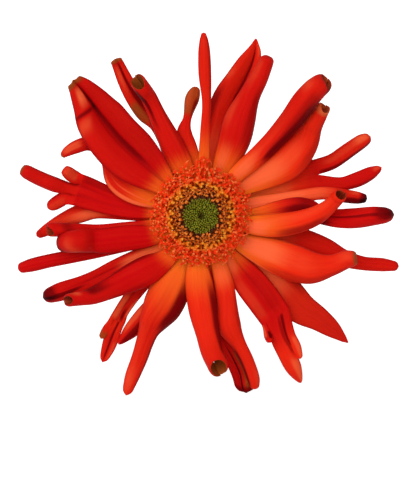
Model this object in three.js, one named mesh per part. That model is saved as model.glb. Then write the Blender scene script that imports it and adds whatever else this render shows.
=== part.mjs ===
// A cut spider gerbera lying on its side: the flower head faces -Y and leans back a little,
// its stem runs back along +Y, and it rests on the stem's cut end and two petal tips.
// Millimetres, +Z up, with the origin on the ground under the middle of the bounding box.
import * as THREE from "three";

// Driving dimensions
const HEAD_LEAN = 13; // degrees between the head's axis and the horizontal
const HEAD_HEIGHT = 38.2; // head centre above the ground
const FIRST_RADIUS = 7.1; // where a petal's narrow claw leaves the receptacle
const PETAL_THICKNESS = 0.5;
const TIER_STEP = 0.92; // depth between two tiers of petals at the receptacle
const TIER_SPREAD = 0.05; // extra depth between two tiers for each mm further out
const DISH = 0.07; // rise of the whole corolla for each mm further out
const RECEPTACLE_RADIUS = 6.6;
const RECEPTACLE_DEPTH = 11;
const STEM_GAP = 0.3;
const STEM_RADIUS = 2.4;
const STEM_LENGTH = 152;
const STEM_SWAY = 5; // sideways bow of the stem
const BRACT_THICKNESS = 0.45;
const BRACTS_PER_RING = 10;

// Colours and finish of the living surfaces
const scarlet = { color: 0xd81a12, roughness: 0.55, metalness: 0 };
const green = { color: 0x6f8a2f, roughness: 0.6, metalness: 0 };
const paleGreen = { color: 0x93a455, roughness: 0.6, metalness: 0 };
const budGreen = { color: 0x7d8a1e, roughness: 0.7, metalness: 0 };
const amber = { color: 0xc0601a, roughness: 0.65, metalness: 0 };
const coral = { color: 0xe2431c, roughness: 0.6, metalness: 0 };

// The petals, clockwise from the top. A path point is [bearing, radius, lift, width]: the bearing
// in degrees from the head's right-hand side, the radius and lift towards the viewer in mm, and
// the width as seen from the front. A roll point is [share of the length, left edge, right edge]
// and curls the edges up by those degrees. Tier 0 is the front one. A finger takes a share of
// the blade's columns and goes on from the blade's last row.
const PETALS = [
  {
    name: "petal_01",
    tier: 0,
    path: [[87, 7.1, 0, 2.2], [87.2, 12, 0, 2.4], [87.3, 19, 0, 2], [87.2, 25, 0, 1.9],
      [88.4, 31, 0, 2.6], [88.9, 36, 0, 2.4], [89.1, 38.6, 0, 1.6], [89.2, 39.9, 0, 0.8]],
    roll: [[0, 20, 20], [0.4, 55, 55], [1, 70, 70]],
  },
  {
    name: "petal_02",
    tier: 3,
    path: [[84, 7.1, 0, 2.2], [82, 12, 0, 4], [80, 19, 0, 5.4], [77.5, 26, 0, 6.4], [74.3, 31, 0, 5.8],
      [72.5, 35.5, 0, 5], [71.4, 38.4, 0, 3.8], [72.6, 40.4, 0, 1.2]],
    roll: [[0, 20, 20], [0.5, 30, 40], [1, 60, 80]],
  },
  {
    name: "petal_03",
    tier: 1,
    path: [[66, 7.1, 0, 2.2], [65.5, 11.5, 0, 4.8], [66.2, 18, 0, 6.9], [68, 23, 0, 6.8],
      [68, 28.5, 0, 4.6], [67.2, 33, 0, 3.6], [67.3, 37, 0.6, 2.6]],
    roll: [[0, 20, 20], [0.5, 30, 50], [0.8, 110, 110], [1, 140, 120]],
  },
  {
    name: "petal_04",
    tier: 0,
    path: [[52, 7.1, 0, 2.2], [49.4, 12, 0, 3.6], [46.5, 18.5, 0, 4.2], [46.2, 24, 0, 4.5],
      [46.8, 29, 0, 4.5], [47.9, 34, 0, 4.8], [48, 38, 0.8, 4.8], [47.3, 40.6, 2, 3.6]],
    roll: [[0, 20, 30], [0.4, 60, 70], [0.75, 130, 120], [1, 165, 150]],
    columns: 6,
  },
  {
    name: "petal_05",
    tier: 1,
    path: [[37, 7.1, 0, 2.2], [36, 11, 0, 4.2], [33, 17, 0, 6.6], [32.2, 22.5, 0, 7.8],
      [35.2, 27.5, 0, 6.6], [38.8, 31.5, 0, 4.2], [41, 35, 0.8, 3], [42, 36.4, 2, 2]],
    roll: [[0, 20, 20], [0.6, 30, 35], [1, 120, 110]],
  },
  {
    name: "petal_06",
    tier: 3,
    path: [[18, 7.1, 0, 2.2], [18, 12, 0, 4], [20, 18.5, 0, 5.6], [20.5, 24.5, 0, 6.6],
      [19.5, 27.5, 0, 7]],
    roll: [[0, 20, 20], [1, 20, 20]],
    rows: 8,
    fingers: [
      { from: 0, to: 2, path: [[22.6, 31.4, 0, 3.4], [24.1, 35.8, 0, 3.3], [25, 39.2, 0, 3],
          [25.2, 41.4, 0.6, 1.4]],
        roll: [[0, 30, 20], [1, 90, 90]] },
      { from: 2, to: 4, path: [[13, 31.5, 0, 2.7], [13.2, 35.5, 0, 3.1], [14.3, 38.9, 0, 2.8],
          [15.2, 41.2, 0.6, 1.2]],
        roll: [[0, 20, 30], [1, 90, 90]] },
    ],
  },
  {
    name: "petal_07",
    tier: 2,
    path: [[12, 7.1, 0, 2.2], [12, 11.5, 0, 3.6], [11, 16.5, 0, 3.6], [11.2, 22, 0, 2.9],
      [10.6, 27.5, 0, 2.7], [8, 32, 0, 2.8], [6.6, 35, 0, 2.4], [6, 36.4, 0.5, 1.2]],
    roll: [[0, 20, 20], [0.6, 40, 40], [1, 90, 90]],
  },
  {
    name: "petal_08",
    tier: 0,
    path: [[348, 7.1, 0, 2.2], [350, 11.5, 0, 4.2], [352.7, 16.5, 0, 5], [357, 22, 0, 4.6],
      [1, 26, 0, 3.8], [5.2, 29, 0.6, 3], [8.5, 31.2, 1.6, 2.8], [9.6, 32.6, 2.6, 2.6]],
    roll: [[0, 20, 20], [0.35, 60, 60], [0.7, 150, 140], [1, 165, 155]],
    columns: 6,
  },
  {
    name: "petal_09",
    tier: 1,
    path: [[359, 7.1, 0, 2.2], [1.5, 12, 0, 2.6], [3.5, 17.5, 0, 4.2], [3.5, 21.5, 0, 4.8],
      [2.5, 24, 0, 4.4], [0, 26.5, 0, 3.4], [359, 30, 0, 3.8], [359.2, 34, 0, 4.1], [0, 38, 0, 3.8],
      [0.4, 41.9, 0.6, 1.2]],
    roll: [[0, 20, 20], [0.5, 20, 20], [1, 100, 100]],
  },
  {
    name: "petal_10",
    tier: 3,
    path: [[346, 7.1, 0, 2.2], [345, 12, 0, 3.6], [346, 22, 0, 5.6], [345.2, 28, 0, 5],
      [343.6, 33, 0, 3.8], [343.8, 37.5, 0, 3], [345, 41.5, 0, 2.8], [345.7, 44.9, 0.4, 1.2]],
    roll: [[0, 20, 20], [0.6, 30, 30], [1, 80, 80]],
  },
  {
    name: "petal_11",
    tier: 1,
    path: [[327, 7.1, 0, 2.2], [327.5, 11, 0, 4.4], [331, 16.5, 0, 7], [332.8, 22, 0, 7.8],
      [335, 26.8, 0, 7], [339.5, 30.5, 0, 4.6], [343.5, 33.3, 0.4, 3.8], [345, 35.4, 1, 2.6]],
    roll: [[0, 20, 20], [0.6, 35, 30], [1, 120, 100]],
  },
  {
    name: "petal_12",
    tier: 3,
    path: [[316, 7.1, 0, 2.2], [317, 12, 0, 5], [318.3, 18, 0, 7.6], [317.8, 25, 0, 7.8],
      [317.3, 30, 0, 6.8], [318.8, 34.5, 0, 5.2], [319.3, 38.5, 0, 3.6], [319.3, 42.8, 0, 0.9]],
    roll: [[0, 20, 20], [1, 25, 25]],
  },
  {
    name: "petal_13",
    tier: 2,
    path: [[306, 7.1, 0, 2.2], [305.6, 12, 0, 4.8], [306.4, 17.5, 0, 7], [306.8, 23, 0, 7.4],
      [306.6, 27.5, 0, 7.2]],
    roll: [[0, 20, 20], [0.7, 20, 40], [1, 15, 50]],
    rows: 8,
    columns: 6,
    fingers: [
      { from: 0, to: 2, path: [[307.1, 32.6, 0, 2.2], [306, 35.7, 0, 2.2], [304.9, 38.3, 0, 0.9]],
        roll: [[0, 20, 20], [1, 80, 80]] },
      { from: 2, to: 5, path: [[302.3, 32.1, 0, 3.5], [301.9, 35.5, 0, 3.8], [301.4, 39.3, -0.6, 3.5],
          [301, 42.9, -2, 1.2]],
        roll: [[0, 20, 20], [1, 60, 60]] },
      { from: 5, to: 6, path: [[299.2, 30.5, 0.8, 1.8], [298.7, 31.8, 2, 1.2]],
        roll: [[0, 20, 20], [1, 60, 60]] },
    ],
  },
  {
    name: "petal_14",
    tier: 1,
    path: [[289, 7.1, 0, 2.2], [290.4, 11, 0, 3.4], [288.6, 16, 0, 4.2], [286.4, 20.5, 0, 4.1],
      [284.7, 25, 0, 4.5], [286.2, 29, 0, 3.2], [287.6, 33.3, 0, 2.8], [287.9, 37.5, -0.3, 2.5],
      [287.4, 39.8, -0.8, 1.4]],
    roll: [[0, 20, 20], [0.6, 40, 35], [1, 80, 80]],
  },
  {
    name: "petal_15",
    tier: 2,
    path: [[279, 7.1, 0, 2.2], [278.5, 12, 0, 3.2], [278, 19, 0, 4.6], [280, 26, 0, 5],
      [283.2, 31.5, 0, 4], [284, 36, 0, 3.6], [283.6, 40, 0.6, 2.6]],
    roll: [[0, 20, 20], [0.6, 25, 25], [1, 100, 100]],
  },
  {
    name: "petal_16",
    tier: 0,
    path: [[265, 7.1, 0, 2.2], [265.5, 11, 0, 4.6], [268.3, 15, 0, 6], [271.2, 20.7, 0, 6.2],
      [273.4, 26, 0, 5.2], [274.7, 30.5, 0, 4.4], [276.4, 33, 0.4, 4.3], [277.4, 34.7, 1.6, 3.4]],
    roll: [[0, 20, 20], [0.5, 45, 40], [0.8, 110, 100], [1, 150, 140]],
    columns: 6,
  },
  {
    name: "petal_17",
    tier: 1,
    path: [[248, 7.1, 0, 2.2], [248.3, 11.5, 0, 5.2], [247.5, 17, 0, 8.4], [246.8, 21.5, 0, 8.6],
      [245.8, 25, 0, 6.6], [245.6, 27.8, 0, 4.5], [246, 30.5, 0, 3.8], [246.6, 34, 0, 3.5],
      [246.8, 38.5, 0, 3.1], [247.3, 42.6, 0, 1.6]],
    roll: [[0, 20, 20], [0.6, 35, 30], [1, 40, 40]],
  },
  {
    name: "petal_18",
    tier: 2,
    path: [[250, 7.1, 0, 2.2], [247, 13, 0, 3], [243, 20.5, 0, 3.8], [240.4, 25.5, 0, 4.2],
      [238.4, 30, 0, 3.2], [237.2, 33.6, 0, 1]],
    roll: [[0, 20, 20], [1, 30, 30]],
  },
  {
    name: "petal_19",
    tier: 3,
    path: [[233, 7.1, 0, 2.2], [230.5, 13, 0, 3], [229, 20, 0, 3.4], [229.3, 24, 0, 3.3],
      [230.2, 27.5, 0, 3.2], [231.2, 29.5, 0, 3.6]],
    roll: [[0, 20, 20], [0.6, 40, 40], [1, 30, 30]],
    rows: 8,
    fingers: [
      { from: 0, to: 3, path: [[233.5, 32.5, 0, 3.1], [234.8, 35.5, 0, 2.9], [236, 39, 0, 1.2]],
        roll: [[0, 20, 20], [1, 60, 60]] },
      { from: 3, to: 4, path: [[229.7, 32.8, 0.3, 1.5], [230.6, 35, 1, 1.2]],
        roll: [[0, 20, 20], [1, 40, 40]] },
    ],
  },
  {
    name: "petal_20",
    tier: 0,
    path: [[234, 7.1, 0, 2.2], [231, 12, 0, 4.2], [225.5, 16.5, 0, 6.4], [221.2, 21, 0, 6],
      [218.6, 25.5, 0, 4.5], [216.4, 30, 0, 3.3], [213.8, 33, 0.8, 2.8], [211.9, 35, 1.8, 2.5]],
    roll: [[0, 20, 20], [0.4, 50, 50], [0.75, 140, 130], [1, 165, 150]],
    columns: 6,
  },
  {
    name: "petal_21",
    tier: 2,
    path: [[219, 7.1, 0, 2.2], [217, 12, 0, 3.6], [213, 18, 0, 4], [211.3, 22.5, 0, 3.8],
      [210.6, 27, 0, 3.6], [209.5, 31, 0, 3.6], [208.2, 35.5, 0.2, 3.8], [207.3, 39, 1, 1.8]],
    roll: [[0, 20, 20], [0.5, 40, 40], [1, 110, 110]],
  },
  {
    name: "petal_22",
    tier: 1,
    path: [[204, 7.1, 0, 2.2], [202, 11.5, 0, 4.4], [197, 16.5, 0, 5.6], [194.5, 22, 0, 5.4],
      [193, 26, 0, 5], [191.6, 29.2, 0.6, 4.6], [191.3, 31.4, 1.8, 3.8]],
    roll: [[0, 20, 20], [0.5, 45, 45], [0.8, 110, 110], [1, 150, 140]],
    columns: 6,
  },
  {
    name: "petal_23",
    tier: 3,
    path: [[208, 7.1, 0, 2.2], [205, 12, 0, 2.8], [200.4, 19, 0, 2.9], [198.6, 25, 0, 2.8],
      [197.3, 30, 0, 2.9], [196.4, 35, 0, 2.9], [196.1, 39, 0, 2.7], [196, 41.9, 0, 0.9]],
    roll: [[0, 20, 20], [0.6, 50, 50], [1, 80, 80]],
  },
  {
    name: "petal_24",
    tier: 2,
    path: [[191, 7.1, 0, 2.2], [191, 12, 0, 2.8], [189.6, 17, 0, 3], [188.3, 22.5, 0, 2.8],
      [186.8, 27, 0, 2.8], [185.6, 31, 0.4, 2.8], [185, 33.6, 1.2, 2.4]],
    roll: [[0, 20, 20], [0.5, 40, 40], [0.8, 110, 110], [1, 150, 140]],
  },
  {
    name: "petal_25",
    tier: 3,
    path: [[180, 7.1, 0, 2.2], [178.5, 12, 0, 3], [177.2, 19, 0, 3.2], [177, 23.5, 0, 3.6],
      [179, 27, 0, 4], [182, 31, 0, 3], [184.9, 34, 0, 2.6], [186.8, 36.4, 0, 1]],
    roll: [[0, 20, 20], [0.6, 30, 30], [1, 50, 50]],
  },
  {
    name: "petal_26",
    tier: 2,
    path: [[170, 7.1, 0, 2.2], [172.5, 12, 0, 4.2], [172, 16, 0, 5.4], [170.4, 21, 0, 6.2],
      [168.8, 25, 0, 7], [168, 27.5, 0, 7.2]],
    roll: [[0, 20, 20], [1, 20, 20]],
    rows: 8,
    columns: 6,
    fingers: [
      { from: 0, to: 2, path: [[172.8, 30.4, 0.2, 3], [175.2, 32.4, 0.4, 2.4], [177, 33.5, 0.6, 1]],
        roll: [[0, 20, 20], [1, 60, 60]] },
      { from: 2, to: 4, path: [[168.2, 30.6, 0, 3], [167.7, 33.6, 0, 3.1], [166.7, 37, 0, 2.9],
          [165.3, 40.8, 0.5, 1.4]],
        roll: [[0, 20, 20], [1, 90, 90]] },
      { from: 4, to: 6, path: [[162.8, 29.4, 0.4, 2.8], [161, 31.9, 1, 1.4]],
        roll: [[0, 20, 20], [1, 90, 90]] },
    ],
  },
  {
    name: "petal_27",
    tier: 1,
    path: [[158, 7.1, 0, 2.2], [160, 12, -0.1, 4.6], [158, 16, -0.2, 6.4], [155, 20, -0.3, 6.2],
      [148.6, 23.5, -0.4, 4], [146, 26.5, -0.4, 3.2], [147.3, 29.5, -0.4, 3], [151.2, 31.5, -0.4, 2.8],
      [154.6, 32.8, -0.4, 2], [156.8, 33.3, -0.3, 0.8]],
    roll: [[0, 20, 20], [0.6, 20, 20], [1, 60, 60]],
  },
  {
    name: "petal_28",
    tier: 0,
    path: [[139, 7.1, 0, 2.4], [138.6, 11, 0, 5.8], [138.8, 16, 0, 9.8], [138.8, 20.5, 0, 11.8],
      [138, 25.5, 0, 11.6], [135.9, 31, 0, 10.6], [134.2, 35, 0.4, 7.9], [133.4, 38.5, 1.2, 5],
      [133.4, 40.6, 2.4, 2.4]],
    roll: [[0, 20, 20], [0.6, 30, 40], [0.85, 60, 80], [1, 120, 120]],
    columns: 6,
  },
  {
    name: "petal_29",
    tier: 2,
    path: [[120, 7.1, 0, 2.2], [118, 13, 0, 2.2], [116.4, 18, 0, 2.5], [116, 22.4, 0, 3.1],
      [118, 26, 0, 4.4], [119.2, 30.2, 0, 4], [119.2, 34.3, 0, 3.2], [118.7, 38, 0.6, 2.2],
      [118.6, 39.2, 1.4, 1.6]],
    roll: [[0, 20, 20], [0.6, 40, 30], [1, 110, 110]],
  },
  {
    name: "petal_30",
    tier: 1,
    path: [[110, 7.1, 0, 2.2], [111, 11.5, 0, 5], [112.2, 16, 0, 5.4], [112.8, 19.5, 0, 4.6],
      [113.4, 23.8, 0, 3.8], [113.8, 28.8, 0, 3.1], [114.8, 31.6, 0.6, 3], [115.6, 33.6, 1.8, 2.8]],
    roll: [[0, 20, 20], [0.6, 45, 45], [0.85, 110, 120], [1, 150, 150]],
  },
  {
    name: "petal_31",
    tier: 2,
    path: [[98, 7.1, 0, 2.2], [99.3, 11, 0, 3.6], [101, 15, 0, 4.2], [101.2, 19, 0, 3.2],
      [98, 21.8, 0.2, 1.5], [94.7, 25.5, 0.9, 2.7], [93.3, 27, 1.4, 2.4], [91.8, 28.2, 2, 1.1]],
    roll: [[0, 20, 20], [0.6, 30, 40], [1, 100, 120]],
  },
];

// The two rings of bracts in the same point format, with a radius and lift of their own.
const OUTER_BRACT = [[0, 4.7, -9.2, 1.6], [0, 7.4, -7.9, 2.3], [0, 9.8, -6.9, 1.9], [0, 11.8, -6.5, 0.7]];
const INNER_BRACT = [[0, 6.3, -7.4, 1.8], [0, 8.4, -5.9, 2.4], [0, 11, -5.2, 2], [0, 14, -5.1, 0.7]];

const radians = THREE.MathUtils.degToRad;
const lerp = THREE.MathUtils.lerp;

// A point of the head's own frame: right, up and towards the viewer, from polar values.
function headPoint(bearing, radius, depth) {
  const angle = radians(bearing);
  return new THREE.Vector3(radius * Math.cos(angle), radius * Math.sin(angle), depth);
}

// Depth of a tier at a radius, before a petal's own lift.
function tierDepth(tier, radius) {
  const out = radius - FIRST_RADIUS;
  return DISH * out - tier * (TIER_STEP + TIER_SPREAD * out);
}

// Smooth value at a share of the way through evenly spread key values.
function keyed(values, share) {
  const at = share * (values.length - 1);
  const i = Math.min(Math.floor(at), values.length - 2);
  const f = at - i;
  const [a, b, c, d] = [i - 1, i, i + 1, i + 2].map(
    (k) => values[Math.min(Math.max(k, 0), values.length - 1)],
  );
  return b + 0.5 * f * (c - a + f * (2 * a - 5 * b + 4 * c - d + f * (3 * (b - c) + d - a)));
}

// Roll of the two edges, in radians, at a share of the length.
function rollAt(roll, share) {
  const next = Math.max(1, roll.findIndex(([at]) => at >= share));
  const [a, b] = [roll[next - 1], roll[next]];
  const f = THREE.MathUtils.smoothstep(share, a[0], b[0]);
  return [radians(lerp(a[1], b[1], f)), radians(lerp(a[2], b[2], f))];
}

// One cross-section: [across, up] pairs from left to right, two arcs that meet flat in the
// middle, scaled to the width seen in front.
function crossSection(width, [left, right], columns) {
  const points = [];
  for (let j = 0; j <= columns; j++) {
    const share = (2 * j) / columns - 1;
    const roll = share < 0 ? left : right;
    points.push([Math.sin(roll * share) / roll, (1 - Math.cos(roll * share)) / roll]);
  }
  const across = points.map(([x]) => x);
  const [low, high] = [Math.min(...across), Math.max(...across)];
  const scale = width / (high - low);
  return points.map(([x, y]) => [(x - (low + high) / 2) * scale, y * scale]);
}

// Rows of points for a strip along a path of [bearing, radius, depth, width] points.
function stripRows(path, roll, rows, columns, facing) {
  const curve = new THREE.CatmullRomCurve3(
    path.map(([bearing, radius, depth]) => headPoint(bearing, radius, depth)),
    false,
    "centripetal",
  );
  const widths = path.map((point) => point[3]);
  const normal = facing.clone();
  const made = [];
  for (let i = 0; i <= rows; i++) {
    const even = i / rows;
    const share = 1 - (1 - even) ** 1.25; // rows crowd a little towards the tip
    const along = curve.getTangent(share);
    normal.addScaledVector(along, -normal.dot(along)).normalize();
    const right = new THREE.Vector3().crossVectors(along, normal);
    const section = crossSection(Math.max(keyed(widths, share), 0.6), rollAt(roll, share), columns);
    made.push(
      section.map(([x, y]) =>
        curve.getPoint(share).addScaledVector(right, x).addScaledVector(normal, y),
      ),
    );
  }
  return { rows: made, normal };
}

// A closed shell of even thickness around a sheet given as points and four-sided cells.
function thicken(points, cells, thickness) {
  const normals = points.map(() => new THREE.Vector3());
  for (const [a, b, c, d] of cells) {
    const across = new THREE.Vector3().subVectors(points[c], points[a]);
    const other = new THREE.Vector3().subVectors(points[d], points[b]);
    const face = across.cross(other);
    for (const k of [a, b, c, d]) normals[k].add(face);
  }
  const position = [];
  for (const side of [0.5, -0.5])
    points.forEach((p, k) => {
      position.push(...p.clone().addScaledVector(normals[k].normalize(), side * thickness).toArray());
      normals[k].normalize();
    });
  const back = points.length;
  const index = [];
  const edges = new Map();
  for (const [a, b, c, d] of cells) {
    index.push(a, b, c, a, c, d);
    index.push(back + a, back + c, back + b, back + a, back + d, back + c);
    for (const [p, q] of [[a, b], [b, c], [c, d], [d, a]])
      if (!edges.delete(`${q} ${p}`)) edges.set(`${p} ${q}`, [p, q]);
  }
  for (const [p, q] of edges.values()) index.push(p, back + p, q, q, back + p, back + q);
  const geometry = new THREE.BufferGeometry();
  geometry.setAttribute("position", new THREE.Float32BufferAttribute(position, 3));
  geometry.setIndex(index);
  return geometry;
}

// Adds a strip's rows to a sheet, joined to a row that the sheet already has, if one is given.
function addRows(sheet, rows, firstRow) {
  let last = firstRow;
  for (const row of rows) {
    const ids = row.map((p) => sheet.points.push(p) - 1);
    if (last)
      for (let j = 0; j + 1 < ids.length; j++)
        sheet.cells.push([last[j + 1], last[j], ids[j], ids[j + 1]]);
    last = ids;
  }
  return last;
}

function petalGeometry({ tier, path, roll, rows = 13, columns = 4, fingers = [] }) {
  const raised = path.map(([bearing, radius, lift, width]) => [
    bearing,
    radius,
    tierDepth(tier, radius) + lift,
    width,
  ]);
  const sheet = { points: [], cells: [] };
  const blade = stripRows(raised, roll, rows, columns, new THREE.Vector3(0, 0, 1));
  const lastRow = addRows(sheet, blade.rows);
  for (const finger of fingers) {
    const own = lastRow.slice(finger.from, finger.to + 1);
    const [first, last] = [sheet.points[own[0]], sheet.points[own[own.length - 1]]];
    const start = first.clone().add(last).multiplyScalar(0.5);
    const width = first.distanceTo(last);
    const bearing = THREE.MathUtils.radToDeg(Math.atan2(start.y, start.x));
    const way = [
      [bearing, Math.hypot(start.x, start.y), start.z, width],
      ...finger.path.map(([b, r, lift, w]) => [b, r, tierDepth(tier, r) + lift, w]),
    ];
    const strip = stripRows(way, finger.roll, 6, finger.to - finger.from, blade.normal);
    addRows(sheet, strip.rows.slice(1), own);
  }
  return thicken(sheet.points, sheet.cells, PETAL_THICKNESS);
}

function bractGeometry(path, bearing) {
  const turned = path.map(([, radius, depth, width]) => [bearing, radius, depth, width]);
  const sheet = { points: [], cells: [] };
  addRows(sheet, stripRows(turned, [[0, 30, 30], [1, 30, 30]], 6, 2, new THREE.Vector3(0, 0, 1)).rows);
  return thicken(sheet.points, sheet.cells, BRACT_THICKNESS);
}

// A ring or disc of crowded florets: its top is bumpy, its foot flat, its rim scalloped.
function floretRing({ inner, outer, foot, top, bumps, relief, scallop, rings, segments }) {
  const points = [];
  const cells = [];
  const at = (ring, side, k) => (ring * 2 + side) * segments + (k % segments);
  for (let i = 0; i <= rings; i++) {
    const share = i / rings;
    for (const side of [0, 1])
      for (let k = 0; k < segments; k++) {
        const angle = (2 * Math.PI * k) / segments;
        const wave = Math.cos(bumps * angle + Math.PI * i);
        const radius = lerp(inner, outer, share) + share * scallop * Math.cos(bumps * angle);
        const crown = top(share) + relief * wave * Math.sin(Math.PI * Math.min(1, share + 0.1));
        const depth = side ? crown : foot(share);
        points.push(new THREE.Vector3(radius * Math.cos(angle), radius * Math.sin(angle), depth));
      }
  }
  for (let k = 0; k < segments; k++) {
    for (let i = 0; i < rings; i++) {
      cells.push([at(i, 1, k), at(i + 1, 1, k), at(i + 1, 1, k + 1), at(i, 1, k + 1)]);
      cells.push([at(i, 0, k + 1), at(i + 1, 0, k + 1), at(i + 1, 0, k), at(i, 0, k)]);
    }
    cells.push([at(0, 0, k), at(0, 1, k), at(0, 1, k + 1), at(0, 0, k + 1)]);
    cells.push([at(rings, 0, k + 1), at(rings, 1, k + 1), at(rings, 1, k), at(rings, 0, k)]);
  }
  const geometry = new THREE.BufferGeometry().setFromPoints(points);
  geometry.setIndex(cells.flatMap(([a, b, c, d]) => [a, b, c, a, c, d]));
  return geometry;
}

// The cushion of unopened buds in the middle, bumpy all over.
function budCushion() {
  const RADIUS = 3.9;
  const profile = [
    [0, 0.9],
    [RADIUS - 0.2, 0.9],
    [RADIUS, 1.3],
    [3.6, 2.7],
    [2.6, 3.2],
    [1.4, 3.1],
    [0, 2.6],
  ];
  const geometry = new THREE.LatheGeometry(
    profile.map(([radius, depth]) => new THREE.Vector2(radius, depth)),
    30,
  );
  return geometry.rotateX(Math.PI / 2);
}

// The receptacle: a solid cup with a flat top for the florets, narrowing down to the stem.
function receptacleGeometry() {
  const profile = [
    [0, -RECEPTACLE_DEPTH],
    [2.7, -RECEPTACLE_DEPTH],
    [3.4, -9.8],
    [5, -8],
    [6.3, -5.8],
    [RECEPTACLE_RADIUS, -4.2],
    [RECEPTACLE_RADIUS, 0.2],
    [RECEPTACLE_RADIUS - 0.4, 0.6],
    [0, 0.6],
  ];
  const geometry = new THREE.LatheGeometry(
    profile.map(([radius, depth]) => new THREE.Vector2(radius, depth)),
    36,
  );
  return geometry.rotateX(Math.PI / 2);
}

// The stem, in the part's own axes with the head's centre as the origin: it leaves the
// receptacle along the head's axis, bows a little to one side and ends in a slanting cut.
function stemGeometry() {
  const lean = radians(HEAD_LEAN);
  const back = new THREE.Vector3(0, Math.cos(lean), -Math.sin(lean));
  const start = back.clone().multiplyScalar(RECEPTACLE_DEPTH + STEM_GAP);
  const drop = HEAD_HEIGHT - STEM_RADIUS + start.z;
  const run = Math.sqrt(STEM_LENGTH ** 2 - drop ** 2);
  const end = new THREE.Vector3(0, start.y + run, start.z - drop);
  const curve = new THREE.CatmullRomCurve3([
    start,
    start.clone().addScaledVector(back, 12),
    new THREE.Vector3(STEM_SWAY, lerp(start.y, end.y, 0.5), lerp(start.z, end.z, 0.52)),
    new THREE.Vector3(STEM_SWAY * 0.7, lerp(start.y, end.y, 0.8), lerp(start.z, end.z, 0.84)),
    end,
  ]);
  const STEPS = 16;
  const SIDES = 20;
  const CUT_SLANT = 0.9; // how far the cut runs on along the stem for each mm down
  const position = [];
  const index = [];
  for (let i = 0; i <= STEPS; i++) {
    const at = curve.getPointAt(i / STEPS);
    const along = curve.getTangentAt(i / STEPS);
    const right = new THREE.Vector3().crossVectors(along, new THREE.Vector3(0, 0, 1)).normalize();
    const up = new THREE.Vector3().crossVectors(right, along);
    const radius = STEM_RADIUS + (i === 0 ? 0.3 : 0);
    for (let k = 0; k < SIDES; k++) {
      const angle = (2 * Math.PI * k) / SIDES;
      const point = at.clone().addScaledVector(right, radius * Math.cos(angle));
      point.addScaledVector(up, radius * Math.sin(angle));
      if (i === STEPS) point.addScaledVector(along, -CUT_SLANT * radius * Math.sin(angle));
      position.push(...point.toArray());
    }
  }
  for (let i = 0; i < STEPS; i++)
    for (let k = 0; k < SIDES; k++) {
      const [a, b] = [i * SIDES + k, i * SIDES + ((k + 1) % SIDES)];
      index.push(a, b + SIDES, b, a, a + SIDES, b + SIDES);
    }
  for (let k = 1; k + 1 < SIDES; k++) {
    index.push(0, k, k + 1);
    index.push(STEPS * SIDES, STEPS * SIDES + k + 1, STEPS * SIDES + k);
  }
  const geometry = new THREE.BufferGeometry();
  geometry.setAttribute("position", new THREE.Float32BufferAttribute(position, 3));
  geometry.setIndex(index);
  return geometry;
}

function piece(name, geometry, finish) {
  geometry.computeVertexNormals();
  const mesh = new THREE.Mesh(geometry, new THREE.MeshStandardMaterial(finish));
  mesh.name = name;
  return mesh;
}

const head = new THREE.Group();
for (const petal of PETALS) head.add(piece(petal.name, petalGeometry(petal), scarlet));
for (let k = 0; k < BRACTS_PER_RING; k++) {
  const number = String(k + 1).padStart(2, "0");
  const bearing = (360 * k) / BRACTS_PER_RING;
  head.add(piece(`outer_bract_${number}`, bractGeometry(OUTER_BRACT, bearing), green));
  head.add(piece(`inner_bract_${number}`, bractGeometry(INNER_BRACT, bearing + 18), green));
}
head.add(piece("receptacle", receptacleGeometry(), paleGreen));
head.add(piece("disc_buds", budCushion(), budGreen));
head.add(
  piece(
    "disc_florets",
    floretRing({
      inner: 4.3, outer: 5.9, foot: () => 0.9, top: (s) => 3.1 + 0.4 * Math.sin(Math.PI * s),
      bumps: 16, relief: 0.35, scallop: 0, rings: 3, segments: 64,
    }),
    amber,
  ),
);
head.add(
  piece(
    "trans_florets",
    floretRing({
      inner: 6.2, outer: 10.4, foot: (s) => 0.9 + 0.6 * s, top: (s) => 3.3 + 0.3 * Math.sin(Math.PI * s) - s,
      bumps: 24, relief: 0.4, scallop: 0.8, rings: 4, segments: 96,
    }),
    coral,
  ),
);

// The head's right, up and forward directions turned so that it faces -Y and leans back.
const lean = radians(HEAD_LEAN);
head.applyMatrix4(
  new THREE.Matrix4().makeBasis(
    new THREE.Vector3(1, 0, 0),
    new THREE.Vector3(0, Math.sin(lean), Math.cos(lean)),
    new THREE.Vector3(0, -Math.cos(lean), Math.sin(lean)),
  ),
);

const flower = new THREE.Group();
flower.add(head, piece("stem", stemGeometry(), green));

// The whole flower set down on the ground, centred over the origin.
const box = new THREE.Box3().setFromObject(flower, true);
const centre = box.getCenter(new THREE.Vector3());
const gerbera = new THREE.Group();
gerbera.add(flower);
flower.position.set(-centre.x, -centre.y, -box.min.z);

export default gerbera;
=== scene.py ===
"""A cut spider gerbera lying on its side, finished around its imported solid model.

Every piece is made from mesh code in the model's own frame, in metres: 31 ray petals, the
bracts, the receptacle, three rings of small florets and the stem with its down.
"""
import math
from types import SimpleNamespace

import bpy
import numpy as np
from bpy.props import FloatProperty, FloatVectorProperty, IntProperty, PointerProperty
from mathutils import Matrix, Vector


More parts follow.
